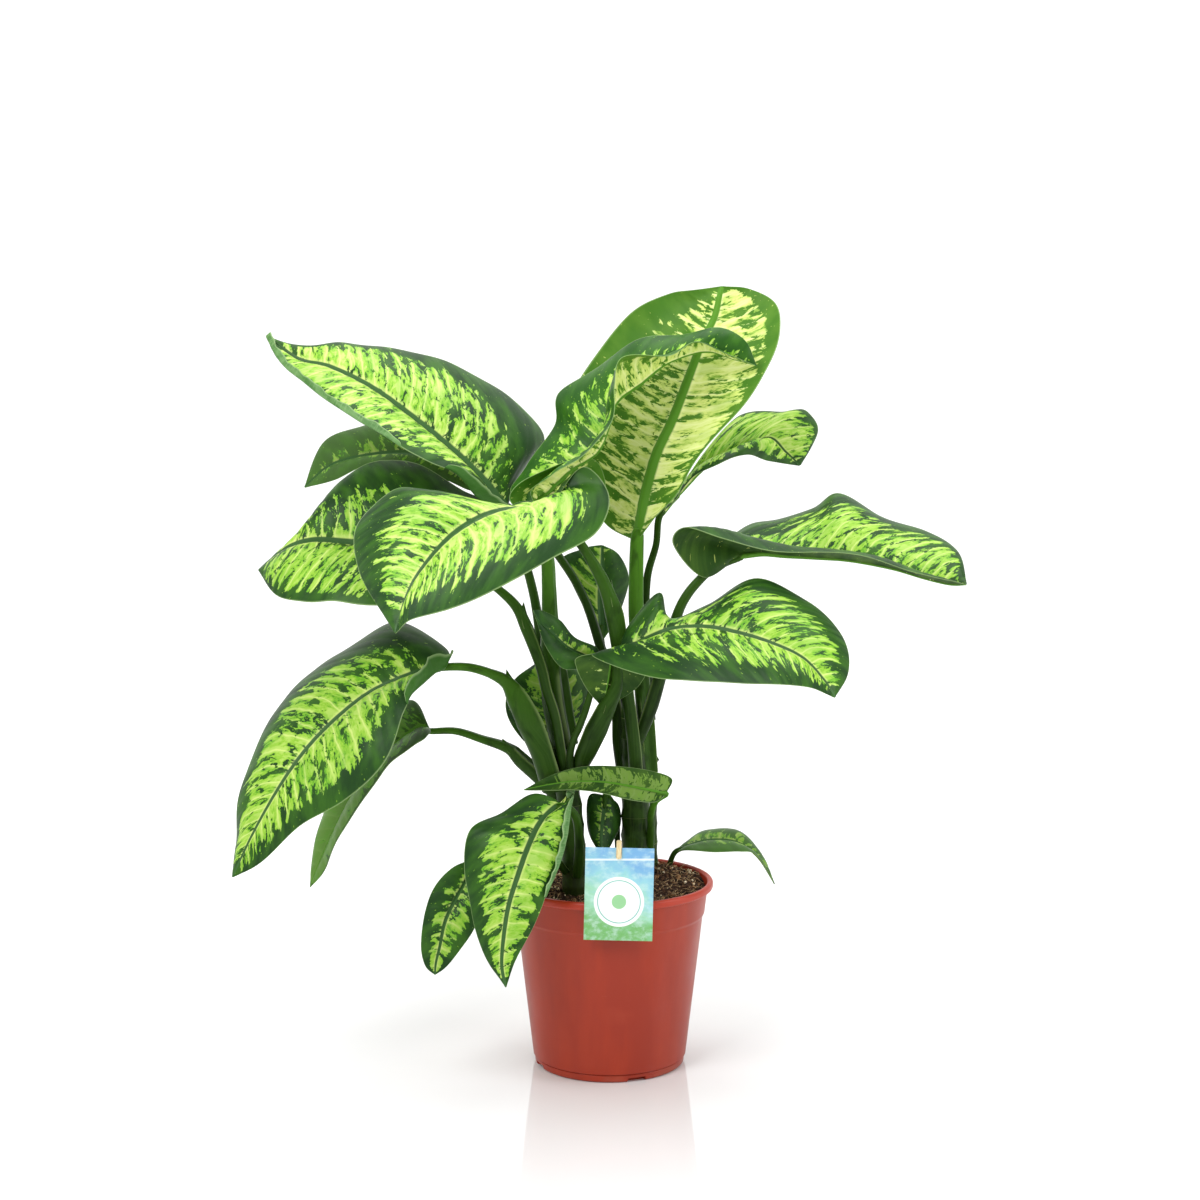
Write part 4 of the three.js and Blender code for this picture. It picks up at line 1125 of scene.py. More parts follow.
def add_skin(sheets, upper, lower, values, above, below):
    """A closed skin of two grids of points, joined round their margin by a band."""
    rows, columns = upper.shape[:2]
    under = rows * columns
    number = np.arange(under).reshape(rows, columns)
    a, b, c, d = number[:-1, :-1], number[:-1, 1:], number[1:, 1:], number[1:, :-1]
    top = np.stack([a, b, c, d], axis=-1).reshape(-1, 4)
    bottom = np.stack([a, d, c, b], axis=-1).reshape(-1, 4) + under
    loop = np.concatenate([number[0, :], number[1:, -1], number[-1, -2::-1], number[-2:0:-1, 0]])
    after = np.roll(loop, -1)
    band = np.stack([loop, loop + under, after + under, after], axis=-1)
    finishes = [above] * len(top) + [below] * (len(bottom) + len(band))
    both = {name: np.concatenate([value.reshape(under, -1)] * 2) for name, value in values.items()}
    if "under" in values:
        both["look"][under:, 0] = both.pop("under")[under:, 0]
    both = {name: value if name in ("vein", "look") else value[:, 0] for name, value in both.items()}
    points = np.concatenate([upper.reshape(-1, 3), lower.reshape(-1, 3)])
    sheets.add(points, np.concatenate([top, bottom, band]).tolist(), finishes, **both)


def add_fold(sheets, blade, fold, seed, steps=9):
    """A narrow wavy strip along one margin, where the blade curls up and back over itself."""
    side, start, end, width, green = fold
    fade = 0.12 if start > 0 else end
    outer, next_in = (0, 1) if side < 0 else (-1, -2)
    rows = np.nonzero((blade.along >= start) & (blade.along <= end))[0]
    place = blade.along[rows]
    ease = np.clip(np.minimum((place - start) / FOLD_RISE, (end - place) / fade), 0, 1)
    ease = np.sqrt(ease * (2 - ease))
    rough = min(1.0, 7 / width)
    reach = place * blade.total
    waves = 1 + rough * sum(high * np.sin(reach / long + seed) for high, long in FOLD_WAVES)
    normals = grid_normals(blade.middle)[rows, outer]
    margin = blade.middle[rows, outer]
    sideways = unit(margin - blade.middle[rows, next_in])
    curl = FOLD_CURL * width * MM * ease + FOLD_LEAST
    length = math.pi * 0.8 * curl + width * MM * ease * waves
    columns = []
    for step in range(steps):
        past = length * step / (steps - 1)
        turn = np.minimum(past / curl, FOLD_TURN)
        straight = past - turn * curl
        out = curl * np.sin(turn) + straight * np.cos(turn)
        up = curl * (1 - np.cos(turn)) + straight * np.sin(turn)
        columns.append(margin + sideways * (out - curl * 0.4)[:, None] + normals * up[:, None])
    share = np.linspace(0, 1, steps)
    if side < 0:
        columns, share = columns[::-1], np.linspace(1, 0, steps)
    strip = np.stack(columns, axis=1)
    facing = grid_normals(strip) * FOLD_THICK / 2
    shape = strip.shape[:2]
    across = share[None, :] * length[:, None]
    values = {
        "vein": np.stack([
            np.broadcast_to(reach[:, None], shape), across, np.full(shape, seed * LEAF_STEP)], axis=-1),
        "share": np.broadcast_to(share, shape), "edge": np.ones(shape), "rib": np.full(shape, 9.0),
        "along": np.broadcast_to(place[:, None], shape), "look": np.full(shape + (3,), green),
    }
    add_skin(sheets, strip + facing, strip - facing, values, 3, 3)


def add_blade(sheets, leaf, look, seed):
    """Both faces of a blade and the band round its margin."""
    large = len(leaf["rows"]) > 4
    blade = Blade(leaf, look, *((120, 26) if large else (64, 16)), seed)
    lift = blade.relief(bpy.context.scene.dieffenbachia_leaf, seed)
    blade.middle = blade.middle + grid_normals(blade.middle) * lift[..., None]
    normals = grid_normals(blade.middle)
    along, share, near = blade.along, blade.share, blade.near
    thin = BLADE_THICK * (0.5 - 0.22 * np.clip((share - 0.8) / 0.2, 0, 1) ** 2)[None, :]
    groove = RIB_GROOVE * np.exp(-(near / 0.9) ** 2) * (1 - 0.8 * along)[:, None]
    depth = RIB_DEPTH * (1.0 if large else 0.5) * (1 - along)[:, None]
    keel = depth * np.sqrt(np.clip(1 - (near / 1.25) ** 2, 0, 1))
    upper = blade.middle + normals * (thin - groove)[..., None]
    lower = blade.middle - normals * (thin + keel)[..., None]
    if "under" in look:
        cover = np.interp(along, [0, 1], look["under"])[:, None]
        blade.values["under"] = np.broadcast_to(cover, near.shape)
    add_skin(sheets, upper, lower, blade.values, 0, 1)
    for fold in look.get("folds", ()):
        add_fold(sheets, blade, fold, seed)


def stalk_frames(centres):
    """Tangent, inner side and cross direction at each point of a stalk that grows out towards its blade."""
    along = unit(np.gradient(centres, axis=0))
    outward = centres[-1] - centres[0]
    outward[2] = 0
    outward = unit(outward) if np.linalg.norm(outward) > 0.01 else np.array([1.0, 0, 0])
    inner = np.array([0, 0, 1.0]) * (along @ outward)[:, None] - outward * along[:, 2:3]
    inner = unit(inner - along * np.sum(inner * along, axis=1, keepdims=True))
    return along, inner, np.cross(along, inner)


def tube_vein(distance, radii, angle, number):
    """Places along and round a tube and its number, at each point of its rings and its two ends."""
    sides, rows = len(angle), len(distance)
    vein = np.stack([
        np.repeat(distance, sides), np.tile(angle, rows) * np.repeat(radii, sides),
        np.full(rows * sides, number)], axis=1)
    return np.concatenate([vein, vein[:1], vein[-1:]])


def add_stalk(sheets, leaf, look, seed, steps=56, sides=24):
    """A stalk from its cane to under the blade, channelled on its inner side and widest where it sheathes."""
    base, first = np.array(leaf["base"], float), np.array(leaf["rows"][0][1], float)
    radius = leaf["stalk"][-1][3]
    under = base + (first - base) * STALK_UNDER
    under[1] += radius * 0.4
    centres, radii = traced([*leaf["stalk"], (*under, radius * 0.7)], steps)
    along, inner, cross = stalk_frames(centres)
    distance = lengths(centres)
    share = distance / distance[-1]
    sheath_end, tip_size = look.get("sheath", (0.35, 0))
    sheath = np.clip((sheath_end - share) / 0.05, 0, 1)
    angle = turns(sides)
    facing = np.cos(angle)[None, :]
    depth = CHANNEL_DEEP + SHEATH_DEEPER * sheath[:, None]
    channel = np.exp(-((1 - facing) / CHANNEL_WIDE) ** 2) * depth
    shoulder = np.abs(np.sin(angle)) - LIP_PLACE
    lips = np.exp(-(shoulder / LIP_WIDE) ** 2)[None, :] * (facing > 0) * LIP_OUT * sheath[:, None]
    wings = np.exp(-(shoulder / WING_WIDE) ** 2)[None, :] * (facing > 0) * sheath[:, None]
    section = radii[:, None] * (1 - channel + lips)
    points = centres[:, None] + inner[:, None] * (section * facing)[..., None]
    points = points + cross[:, None] * (section * np.sin(angle)[None, :] * STALK_OVAL)[..., None]
    tone = [0.5, look["tone"], look.get("stem", 0.2)]
    sheets.add_rings(
        points, centres[0] - along[0] * radii[0] * 0.3, centres[-1] + along[-1] * radii[-1] * 0.6, 2,
        vein=tube_vein(distance, radii, angle, seed * LEAF_STEP), share=np.append(wings.reshape(-1), [0, 0]),
        edge=[0], rib=[0], along=np.append(np.repeat(share, sides), [0, 1]), look=[tone])
    if tip_size:
        at = int(np.searchsorted(share, sheath_end))
        frame_there = centres[at], along[at], inner[at], cross[at]
        add_sheath_tip(sheets, *frame_there, radii[at], tip_size * MM, tone, seed)


def add_sheath_tip(sheets, centre, along, inner, cross, radius, size, tone, seed, rows=14, sides=14):
    """The free pointed end of a sheath: a hollow flap that stands off the stalk's inner side."""
    angle = turns(sides)
    rings = []
    for share in np.arange(rows) / (rows - 1):
        off = radius * 0.5 + size * TIP_LEAN * share ** 1.3
        middle = centre + along * (size * (TIP_LONG * share - TIP_BELOW)) + inner * off
        wide = radius * TIP_WIDE * (1 - share ** 2.2) ** 0.75 + 0.4 * MM
        thick = TIP_THICK * (1 - share) + 0.3 * MM
        curl = inner[None, :] * (-(np.cos(angle) ** 2) * wide * 0.9)[:, None]
        rings.append(middle + cross * (np.cos(angle) * wide)[:, None] + curl
                     + inner[None, :] * (np.sin(angle) * thick)[:, None])
    marks = np.append(np.tile(np.abs(np.cos(angle)) ** 6 * 0.9, rows), [0, 1])
    count = len(marks)
    vein = np.stack([np.linspace(0, 0.03, count), np.zeros(count), np.full(count, seed * LEAF_STEP)], axis=1)
    sheets.add_rings(
        np.stack(rings), rings[0].mean(axis=0), rings[-1].mean(axis=0), 2, vein=vein, share=marks, edge=[0],
        rib=[0], along=[0.5], look=[tone])


class DIEFFENBACHIA_OT_leaves(bpy.types.Operator):
    """Make all leaves, each one blade with its stalk"""

    bl_idname = "dieffenbachia.leaves"
    bl_label = "Leaves"

    def execute(self, context):
        made = {}
        stalk, fold = stalk_finish(), fold_finish()
        for number, (name, leaf) in enumerate(LEAVES.items(), 1):
            look = LOOKS[name]
            # Leaves that share painted shade, freshness and greenness share one pair of finishes.
            kind = tuple(look.get(part, 0.0) for part in ("dull", "fresh", "green"))
            if kind not in made:
                made[kind] = leaf_finishes(*kind)
            sheets = Sheets()
            add_blade(sheets, leaf, look, number)
            if name in LOBES:
                add_blade(sheets, LOBES[name], LOBES[name]["look"], number)
            add_stalk(sheets, leaf, look, number)
            piece = sheets.piece(name.replace("leaf_", "blade_"), [*made[kind], stalk, fold])
            dress(piece, "leaf", name)
        return {"FINISHED"}


# Canes

def add_cane(sheets, line, spacing, seed, steps=150, sides=36):
    """A cane with a scar ring at every joint, a little waisted between them."""
    centres, radii = traced(line, steps)
    along = unit(np.gradient(centres, axis=0))
    side = unit(np.cross(along, [0, 1.0, 0]))
    front = np.cross(along, side)
    distance = lengths(centres)
    phase = distance / spacing + RING_SHIFT * seed
    near = np.abs(phase % 1.0 - 0.5) * 2
    ring = np.exp(-(near / RING_WIDE) ** 2)
    swell = 1 + RING_SWELL * ring - CANE_WAIST * np.cos(2 * math.pi * phase)
    angle = turns(sides)
    lobes = 1 + CANE_LOBES * np.sin(3 * angle[None, :] + seed + 9 * distance[:, None])
    section = (radii * swell)[:, None] * lobes * CANE_WITHIN
    points = centres[:, None] + side[:, None] * (section * np.cos(angle))[..., None]
    points = points + front[:, None] * (section * np.sin(angle))[..., None]
    sheets.add_rings(
        points, centres[0], centres[-1] + along[-1] * radii[-1] * 0.4,
        vein=tube_vein(distance, radii, angle, seed * CANE_STEP),
        along=np.append(np.repeat(ring, sides), [0, 0]))


class DIEFFENBACHIA_OT_canes(bpy.types.Operator):
    """Make the ringed canes"""

    bl_idname = "dieffenbachia.canes"
    bl_label = "Canes"

    def execute(self, context):
        spacing = context.scene.dieffenbachia_cane.ring_spacing
        finish = cane_finish()
        for number, (name, line) in enumerate(CANES.items()):
            sheets = Sheets()
            add_cane(sheets, line, spacing, number)
            dress(sheets.piece(name.replace("cane", "ringed_cane"), [finish]), "cane", name)
        return {"FINISHED"}


# Pot

def wall_radius(height):
    """Outer radius of the tapered wall."""
    return np.interp(height, [WALL_FOOT, WALL_TOP], [POT_FOOT + 2 * MM, POT_RIM - 9.5 * MM])


def pot_profile():
    """The pot's section as (radius, height) corners, up the outside from the foot, then down the inside."""
    lip = POT_HEIGHT - LIP_HEIGHT
    outside = [
        (0, 0), (PAD_RADIUS, 0), (PAD_RADIUS + 3 * MM, FOOT_HOLLOW), (POT_FOOT - 12 * MM, FOOT_HOLLOW),
        (POT_FOOT - 10 * MM, 0), (POT_FOOT - 2 * MM, 0), (POT_FOOT, 1.5 * MM),
        (POT_FOOT + 0.4 * MM, 7.4 * MM), (POT_FOOT - 0.6 * MM, 8.2 * MM), (POT_FOOT + 1.9 * MM, 9.3 * MM),
        (wall_radius(WALL_FOOT), WALL_FOOT), (wall_radius(WALL_TOP), WALL_TOP),
        (POT_RIM - 7.9 * MM, WALL_TOP + 3 * MM), (POT_RIM - 5.5 * MM, lip),
        (POT_RIM - 1 * MM, lip + 0.8 * MM), (POT_RIM, lip + 2.6 * MM), (POT_RIM, POT_HEIGHT - 2.6 * MM),
        (POT_RIM - 1.2 * MM, POT_HEIGHT - 0.6 * MM), (POT_RIM - 3.5 * MM, POT_HEIGHT),
    ]
    inside = [
        (POT_RIM - 6 * MM, POT_HEIGHT - 1.4 * MM), (POT_RIM - 7.2 * MM, lip),
        (wall_radius(WALL_TOP) - POT_WALL, WALL_TOP - 1 * MM),
        (wall_radius(FLOOR_CORNER) - POT_WALL, FLOOR_CORNER), (POT_FOOT - 6 * MM, FOOT_HOLLOW + 2 * MM),
        (PAD_RADIUS + 4 * MM, FOOT_HOLLOW + 2 * MM), (PAD_RADIUS + 1 * MM, 2 * MM), (0, 2 * MM),
    ]
    return outside + inside


def rounded(corners, radius=CORNER_ROUND, steps=4, most=0.45):
    """The same line with each corner turned into a short curve, which takes up most of neither side."""
    corners = np.array(corners, float)
    line = [corners[0]]
    for before, corner, after in zip(corners[:-2], corners[1:-1], corners[2:]):
        back, on = before - corner, after - corner
        reach = min(radius, most * np.linalg.norm(back), most * np.linalg.norm(on))
        start, end = corner + unit(back) * reach, corner + unit(on) * reach
        for share in np.linspace(0, 1, steps + 1):
            line.append((1 - share) ** 2 * start + 2 * share * (1 - share) * corner + share ** 2 * end)
    return np.array([*line, corners[-1]])


def oval(points):
    """Springs round points slightly oval, more so towards the rim."""
    share = POT_OVAL * (points[..., 2] / POT_HEIGHT) ** 2
    stretched = points.copy()
    stretched[..., 0] *= 1 + share
    stretched[..., 1] *= 1 - share
    return stretched


def hoop(radius, height, sides):
    """A ring of points about the pot's axis; the radius and height may be columns, for several rings."""
    angle = turns(sides)
    x = radius * np.cos(angle)
    return oval(np.stack([x, radius * np.sin(angle), np.broadcast_to(height, x.shape)], axis=-1))


def notch_cutters():
    """One mesh of boxes that cut the drain notches round the foot."""
    mesh = bpy.data.meshes.new("notches")
    with worked(mesh) as work:
        for notch in range(NOTCH_COUNT):
            turn = Matrix.Rotation(NOTCH_TURN + notch / NOTCH_COUNT * 2 * math.pi, 4, "Z")
            lift = Matrix.Translation((POT_FOOT, 0, NOTCH_SIZE[2] / 2 - NOTCH_BELOW))
            size = Matrix.Diagonal((*NOTCH_SIZE, 1))
            made = bmesh.ops.create_cube(work, size=1.0, matrix=turn @ lift @ size)
            edges = {edge for vert in made["verts"] for edge in vert.link_edges}
            bmesh.ops.bevel(
                work, geom=list(edges), offset=NOTCH_ROUND, segments=3, profile=0.5, affect="EDGES")
    return placed("notches", mesh)


def made_plain(piece):
    """The piece with its modifiers applied, under its own name."""
    name = piece.name
    evaluated = piece.evaluated_get(bpy.context.evaluated_depsgraph_get())
    mesh = bpy.data.meshes.new_from_object(evaluated)
    piece.modifiers.clear()
    bpy.data.objects.remove(piece)
    mesh.name = name
    return placed(name, mesh)


def pot_finish():
    """Moulded terracotta-coloured plastic: satin, with flow marks, dust and a painted highlight on the lip.
    """
    s = bpy.context.scene.dieffenbachia_pot
    f = Finish("Pot plastic")
    place = f.place()
    height = f.parts(place)[2]
    flow = f.noise(place, (34, 34, 5), 4, 0.55)
    cloud = f.noise(place, 22)
    grain = f.noise(place, 900, 2)
    scratch = f.spread(f.noise(place, (60, 60, 260), 5, 0.7), 0.68, 0.74)
    dust = f.spread(height, 0.0, 0.012, 1.0, 0.0) * f.spread(cloud, 0.4, 0.7)
    lip = POT_HEIGHT - LIP_HEIGHT
    base = f.mix(f.spread(flow, 0.35, 0.65), s.body_colour, srgb(152, 45, 22))
    base = f.mix(f.spread(cloud, 0.55, 0.8, 0.0, 0.35), base, srgb(176, 66, 42))
    # Painted highlight: the lip and what lies above it are painted in the brighter lip colour.
    base = f.mix(f.spread(height, lip - 0.001, lip + 0.002), base, s.lip_highlight_colour)
    base = f.mix(dust * 0.25, base, srgb(150, 116, 96))
    base = f.mix(scratch * 0.12, base, srgb(226, 150, 130))
    rough = f.spread(cloud, 0.3, 0.7, s.roughness - 0.04, s.roughness + 0.06) + scratch * 0.12
    return f.done(base, rough, f.bump(grain + flow, 0.12, 0.0004), Specular_IOR_Level=0.35)


class DIEFFENBACHIA_OT_pot(bpy.types.Operator):
    """Make the turned pot with its drain notches"""

    bl_idname = "dieffenbachia.pot"
    bl_label = "Pot"

    def execute(self, context):
        profile = rounded(pot_profile())
        body = profile[1:-1]
        sheets = Sheets()
        sheets.add_rings(
            hoop(body[:, :1], body[:, 1:], context.scene.dieffenbachia_pot.sides), (0, 0, profile[0, 1]),
            (0, 0, profile[-1, 1]))
        piece = sheets.piece("nursery_pot", [pot_finish()], POT_SHARP)
        cutters = notch_cutters()
        cut = piece.modifiers.new("Notches", "BOOLEAN")
        cut.operation = "DIFFERENCE"
        cut.solver = "EXACT"
        cut.object = cutters
        plain = made_plain(piece)
        bpy.data.objects.remove(cutters)
        plain.data.set_sharp_from_angle(angle=math.radians(POT_SHARP))
        dress(plain, "pot_plastic", "pot")
        return {"FINISHED"}


# Soil

def soil_heap(x, y):
    """How much higher the soil lies behind the right cane."""
    away = (x - HEAP_PLACE[0]) ** 2 + (y - HEAP_PLACE[1]) ** 2
    return HEAP_HEIGHT * np.exp(-away / HEAP_SPREAD ** 2 / 2)


def soil_height(x, y, lump):
    """The lumpy soil surface: broad waves, crumbs and a heap round the canes."""
    waves = np.sin(x * 190 + y * 70) + np.cos(y * 160 - x * 50)
    crumbs = np.sin(x * 610 + 2) * np.cos(y * 560 + x * 240) + 0.6 * np.sin(x * 1130 - y * 970)
    fine = np.sin(x * 2300 + y * 1900) * np.cos(y * 2650 - x * 900)
    return SOIL_TOP + soil_heap(x, y) + SOIL_WAVE * waves + lump * 0.5 * crumbs + lump * 0.26 * fine


def soil_surface(lump, rings=56, sides=176):
    """Rings of soil from the pot's wall in to the middle."""
    radius = SOIL_EDGE * (1 - np.arange(rings) / rings)[:, None]
    x, y = radius * np.cos(turns(sides)), radius * np.sin(turns(sides))
    z = soil_height(x, y, lump)
    z[0] = SOIL_TOP + soil_heap(x[0], y[0]) - SOIL_DIP
    return hoop(radius, z, sides)


def soil_finish():
    """Moist dark peat, painted darker in the bump's hollows as painted shade, browner on its raised crumbs.
    """
    f = Finish("Soil")
    place = f.place()
    crumbs = f.noise(place, 260, 6, 0.7)
    fine = f.noise(place, 1100, 4, 0.7)
    middle = bpy.context.scene.dieffenbachia_soil.soil_colour
    # Painted shade: the noise that raises the bump also paints its hollows darker and its raised crumbs
    # browner.
    base = f.ramp(crumbs, [(0.3, srgb(26, 17, 12)), (0.5, middle), (0.68, srgb(104, 72, 50))])
    base = f.mix(f.spread(fine, 0.6, 0.75, 0.0, 0.6), base, srgb(128, 94, 68))
    base = f.mix(f.spread(f.noise(place, 62, 2), 0.5, 0.64, 0.0, 0.75), base, srgb(18, 12, 9))
    return f.done(base, 0.92, f.bump(crumbs + fine * 0.4, 0.9, 0.003), Specular_IOR_Level=0.2)


def bit_finish(name, first, second):
    """A small loose bit of the soil, in two tones."""
    f = Finish(name)
    colour = f.mix(f.spread(f.noise(f.place(), 330, 3, 0.65), 0.35, 0.65), first, second)
    return f.done(colour, 0.85, f.bump(f.noise(f.place(), 2600, 2), 0.5, 0.0005), Specular_IOR_Level=0.25)


class DIEFFENBACHIA_OT_soil(bpy.types.Operator):
    """Make the soil that fills the pot"""

    bl_idname = "dieffenbachia.soil"
    bl_label = "Soil"

    def execute(self, context):
        lump = context.scene.dieffenbachia_soil.lump
        surface = soil_surface(lump)
        walls = [hoop(radius, height, surface.shape[1]) for radius, height in (
            (POT_FOOT - 7 * MM, SOIL_FOOT), *((wall_radius(z) - SOIL_GAP, z) for z in SOIL_BENDS))]
        sheets = Sheets()
        sheets.add_rings(
            np.concatenate([walls, surface]), (0, 0, SOIL_FOOT), (0, 0, soil_height(0.0, 0.0, lump)))
        dress(sheets.piece("potting_soil", [soil_finish()], 180), "soil", "soil")
        return {"FINISHED"}


def scatter_tree(name):
    """A node tree that strews a bit over a surface, turned and sized at random."""
    tree = Tree(bpy.data.node_groups.new(name, "GeometryNodeTree"))
    face = tree.tree.interface
    for socket, kind in (("Geometry", "Geometry"), ("Bit", "Object"), ("Density", "Float"),
                         ("Smallest", "Float"), ("Largest", "Float"), ("Tilt", "Float"), ("Lift", "Float"),
                         ("Seed", "Int"), ("Finish", "Material")):
        face.new_socket(socket, in_out="INPUT", socket_type="NodeSocket" + kind)
    face.new_socket("Geometry", in_out="OUTPUT", socket_type="NodeSocketGeometry")
    given = {socket.name: Value(tree, socket) for socket in tree.node("NodeGroupInput").outputs}
    seed, tilt = given["Seed"], given["Tilt"]
    tilt_back = tilt * -1
    points = tree.made("GeometryNodeDistributePointsOnFaces", {
        "Mesh": given["Geometry"], "Density": given["Density"], "Seed": seed})
    size = tree.made("FunctionNodeRandomValue", {
        2: given["Smallest"], 3: given["Largest"], "Seed": seed}, 1, data_type="FLOAT")
    low = tree.made("ShaderNodeCombineXYZ", {"X": tilt_back, "Y": tilt_back})
    high = tree.made("ShaderNodeCombineXYZ", {"X": tilt, "Y": tilt, "Z": 2 * math.pi})
    turn = tree.made("FunctionNodeRandomValue", {0: low, 1: high, "Seed": seed}, data_type="FLOAT_VECTOR")
    bit = tree.made("GeometryNodeObjectInfo", {"Object": given["Bit"]}, "Geometry")
    bits = tree.made("GeometryNodeInstanceOnPoints", {
        "Points": points, "Instance": bit, "Rotation": turn, "Scale": size})
    lift = tree.made("ShaderNodeCombineXYZ", {"Z": given["Lift"]})
    bits = tree.made("GeometryNodeTranslateInstances", {
        "Local Space": False, "Instances": bits, "Translation": lift})
    bits = tree.made("GeometryNodeRealizeInstances", {0: bits})
    bits = tree.made("GeometryNodeSetMaterial", {"Geometry": bits, "Material": given["Finish"]})
    tree.node("NodeGroupOutput", {0: bits})
    return tree.tree


def strewn(name, tree, ground, wanted):
    """A piece of bits strewn over the ground mesh, with the tree's wanted inputs."""
    piece = placed(name, ground)
    modifier = piece.modifiers.new("Scatter", "NODES")
    modifier.node_group = tree
    for item in tree.interface.items_tree:
        if item.in_out == "INPUT" and item.name in wanted:
            modifier[item.identifier] = wanted[item.name]
    return made_plain(piece)


def fibre(bend, radius=0.11 * MM, length=11 * MM, steps=5, sides=4):
    """A bent root fibre, lying along X."""
    share = np.linspace(-0.5, 0.5, steps + 1)
    curve = bend * length * (0.25 - share ** 2)
    centres = np.stack([share * length, curve, 0.1 * length * np.sin(share * 6)], axis=1)
    taper = radius * (1.15 - 1.5 * share ** 2)
    across = np.stack([np.zeros(sides), np.cos(turns(sides)), np.sin(turns(sides))], axis=1)
    sheets = Sheets()
    sheets.add_rings(centres[:, None] + across[None] * taper[:, None, None], centres[0], centres[-1])
    return sheets.piece("fibre", [])


def crumb(seed, size, flat=0.6, least=0.72, uneven=0.5):
    """A rough crumb, uneven by a seeded draw."""
    draw = np.random.default_rng(seed)
    mesh = bpy.data.meshes.new("crumb")
    with worked(mesh) as work:
        bmesh.ops.create_icosphere(work, subdivisions=1, radius=size)
        for vert in work.verts:
            vert.co *= least + uneven * draw.random()
            vert.co.z *= flat
    return placed("crumb", mesh)


def soil_ground(lump):
    """The soil's open top surface, as ground for the scatter."""
    surface = soil_surface(lump, rings=30, sides=96)[1:]
    mesh = bpy.data.meshes.new("soil_ground")
    mesh.from_pydata(surface.reshape(-1, 3).tolist(), [], ring_quads(*surface.shape[:2]))
    return mesh


class DIEFFENBACHIA_OT_soil_bits(bpy.types.Operator):
    """Strew fibres, crumbs, bark and grit over the soil"""

    bl_idname = "dieffenbachia.soil_bits"
    bl_label = "Soil bits"

    def execute(self, context):
        s = context.scene.dieffenbachia_soil
        ground = soil_ground(s.lump)
        tree = scatter_tree("Strewn over soil")
        kinds = [
            ("peat_crumbs", crumb(3, 1.0 * MM), ("Peat crumb", srgb(30, 20, 14), srgb(104, 72, 48)),
             s.crumb_density, (0.6, 3.0), 0.9, 0.6 * MM),
            ("bark_chips", crumb(11, 2.2 * MM, 0.35), ("Bark", srgb(72, 46, 28), srgb(176, 134, 92)),
             s.grit_density * 2.6, (0.6, 2.0), 0.9, 1.2 * MM),
            ("root_fibres", fibre(0.5), ("Fibre", srgb(96, 68, 44), srgb(222, 190, 142)),
             s.fibre_density, (0.6, 1.9), 0.6, 2 * MM),
            ("white_grit", crumb(23, 1.25 * MM, 0.85), ("Grit", srgb(214, 194, 152), srgb(244, 232, 206)),
             s.grit_density, (0.7, 1.6), 3.0, 2 * MM),
        ]
        for number, (name, bit, tones, density, sizes, tilt, lift) in enumerate(kinds):
            piece = strewn(name, tree, ground, {
                "Bit": bit, "Finish": bit_finish(*tones), "Density": density, "Smallest": sizes[0],
                "Largest": sizes[1], "Tilt": tilt, "Lift": lift, "Seed": s.seed + number})
            bpy.data.objects.remove(bit)
            dress(piece, "soil")
        return {"FINISHED"}


# Hang tag

def card_finish(low, high):
    """A generic printed card: a soft wash from blue to green, a white disc with a ring and a plain band."""
    f = Finish("Tag card")
    place = f.place()
    sides = f.parts(place)
    across = f.spread(sides[0], low.x, high.x, smooth=False)
    up = f.spread(sides[2], low.z, high.z, smooth=False)
    wash = f.noise(place, (22, 1, 30), 4, 0.6, 0.8)
    fine = f.noise(place, (90, 1, 120), 4, 0.65)
    x = across - 0.5
    y = (up - 0.42) * ((high.z - low.z) / (high.x - low.x))
    away = f.math("SQRT", x * x + y * y)
    colour = f.ramp(up + (wash - 0.5) * 1.1 + x * 0.4, [
        (0.1, srgb(112, 180, 100)), (0.34, srgb(156, 212, 180)), (0.62, srgb(146, 204, 216)),
        (0.95, srgb(116, 170, 214))])
    ring = f.spread(away, 0.292, 0.296) * f.spread(away, 0.306, 0.31, 1.0, 0.0)
    band = f.spread(up, 0.855, 0.86) * f.spread(up, 0.875, 0.88, 1.0, 0.0)
    colour = f.mix(f.spread(fine, 0.42, 0.72, 0.0, 0.6), colour, srgb(206, 232, 228))
    colour = f.mix(f.spread(away, 0.352, 0.358, 1.0, 0.0), colour, srgb(246, 250, 248))
    colour = f.mix(ring, colour, srgb(120, 190, 176))
    colour = f.mix(f.spread(away, 0.1, 0.104, 1.0, 0.0), colour, srgb(150, 206, 150))
    colour = f.mix(band * 0.8, colour, srgb(240, 250, 250))
    return f.done(colour, 0.34, f.bump(fine, 0.05, 0.0002), Specular_IOR_Level=0.5)


def wood_finish():
    """Pale split wood with fine grain along it."""
    f = Finish("Pale wood")
    grain = f.noise(f.place(), (900, 900, 60), 4, 0.6)
    cloud = f.noise(f.place(), (120, 120, 60), 2)
    colour = f.mix(f.spread(grain, 0.35, 0.68), srgb(236, 222, 180), srgb(206, 178, 124))
    colour = f.mix(f.spread(cloud, 0.5, 0.8, 0.0, 0.4), colour, srgb(246, 238, 208))
    return f.done(colour, 0.62, f.bump(grain, 0.3, 0.0003), Specular_IOR_Level=0.3)


def softened(node, name, finish, bevel):
    """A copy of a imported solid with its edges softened."""
    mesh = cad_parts[node].data.copy()
    mesh.name = name
    mesh.materials.clear()
    mesh.materials.append(finish)
    with worked(mesh) as work:
        bmesh.ops.remove_doubles(work, verts=work.verts, dist=0.01 * MM)
        bmesh.ops.dissolve_limit(work, angle_limit=math.radians(2), verts=work.verts, edges=work.edges)
        bmesh.ops.bevel(work, geom=list(work.edges), offset=bevel, segments=3, profile=0.5, affect="EDGES")
        bmesh.ops.recalc_face_normals(work, faces=work.faces)
    mesh.shade_smooth()
    mesh.set_sharp_from_angle(angle=math.radians(TAG_SHARP))
    return placed(name, mesh)


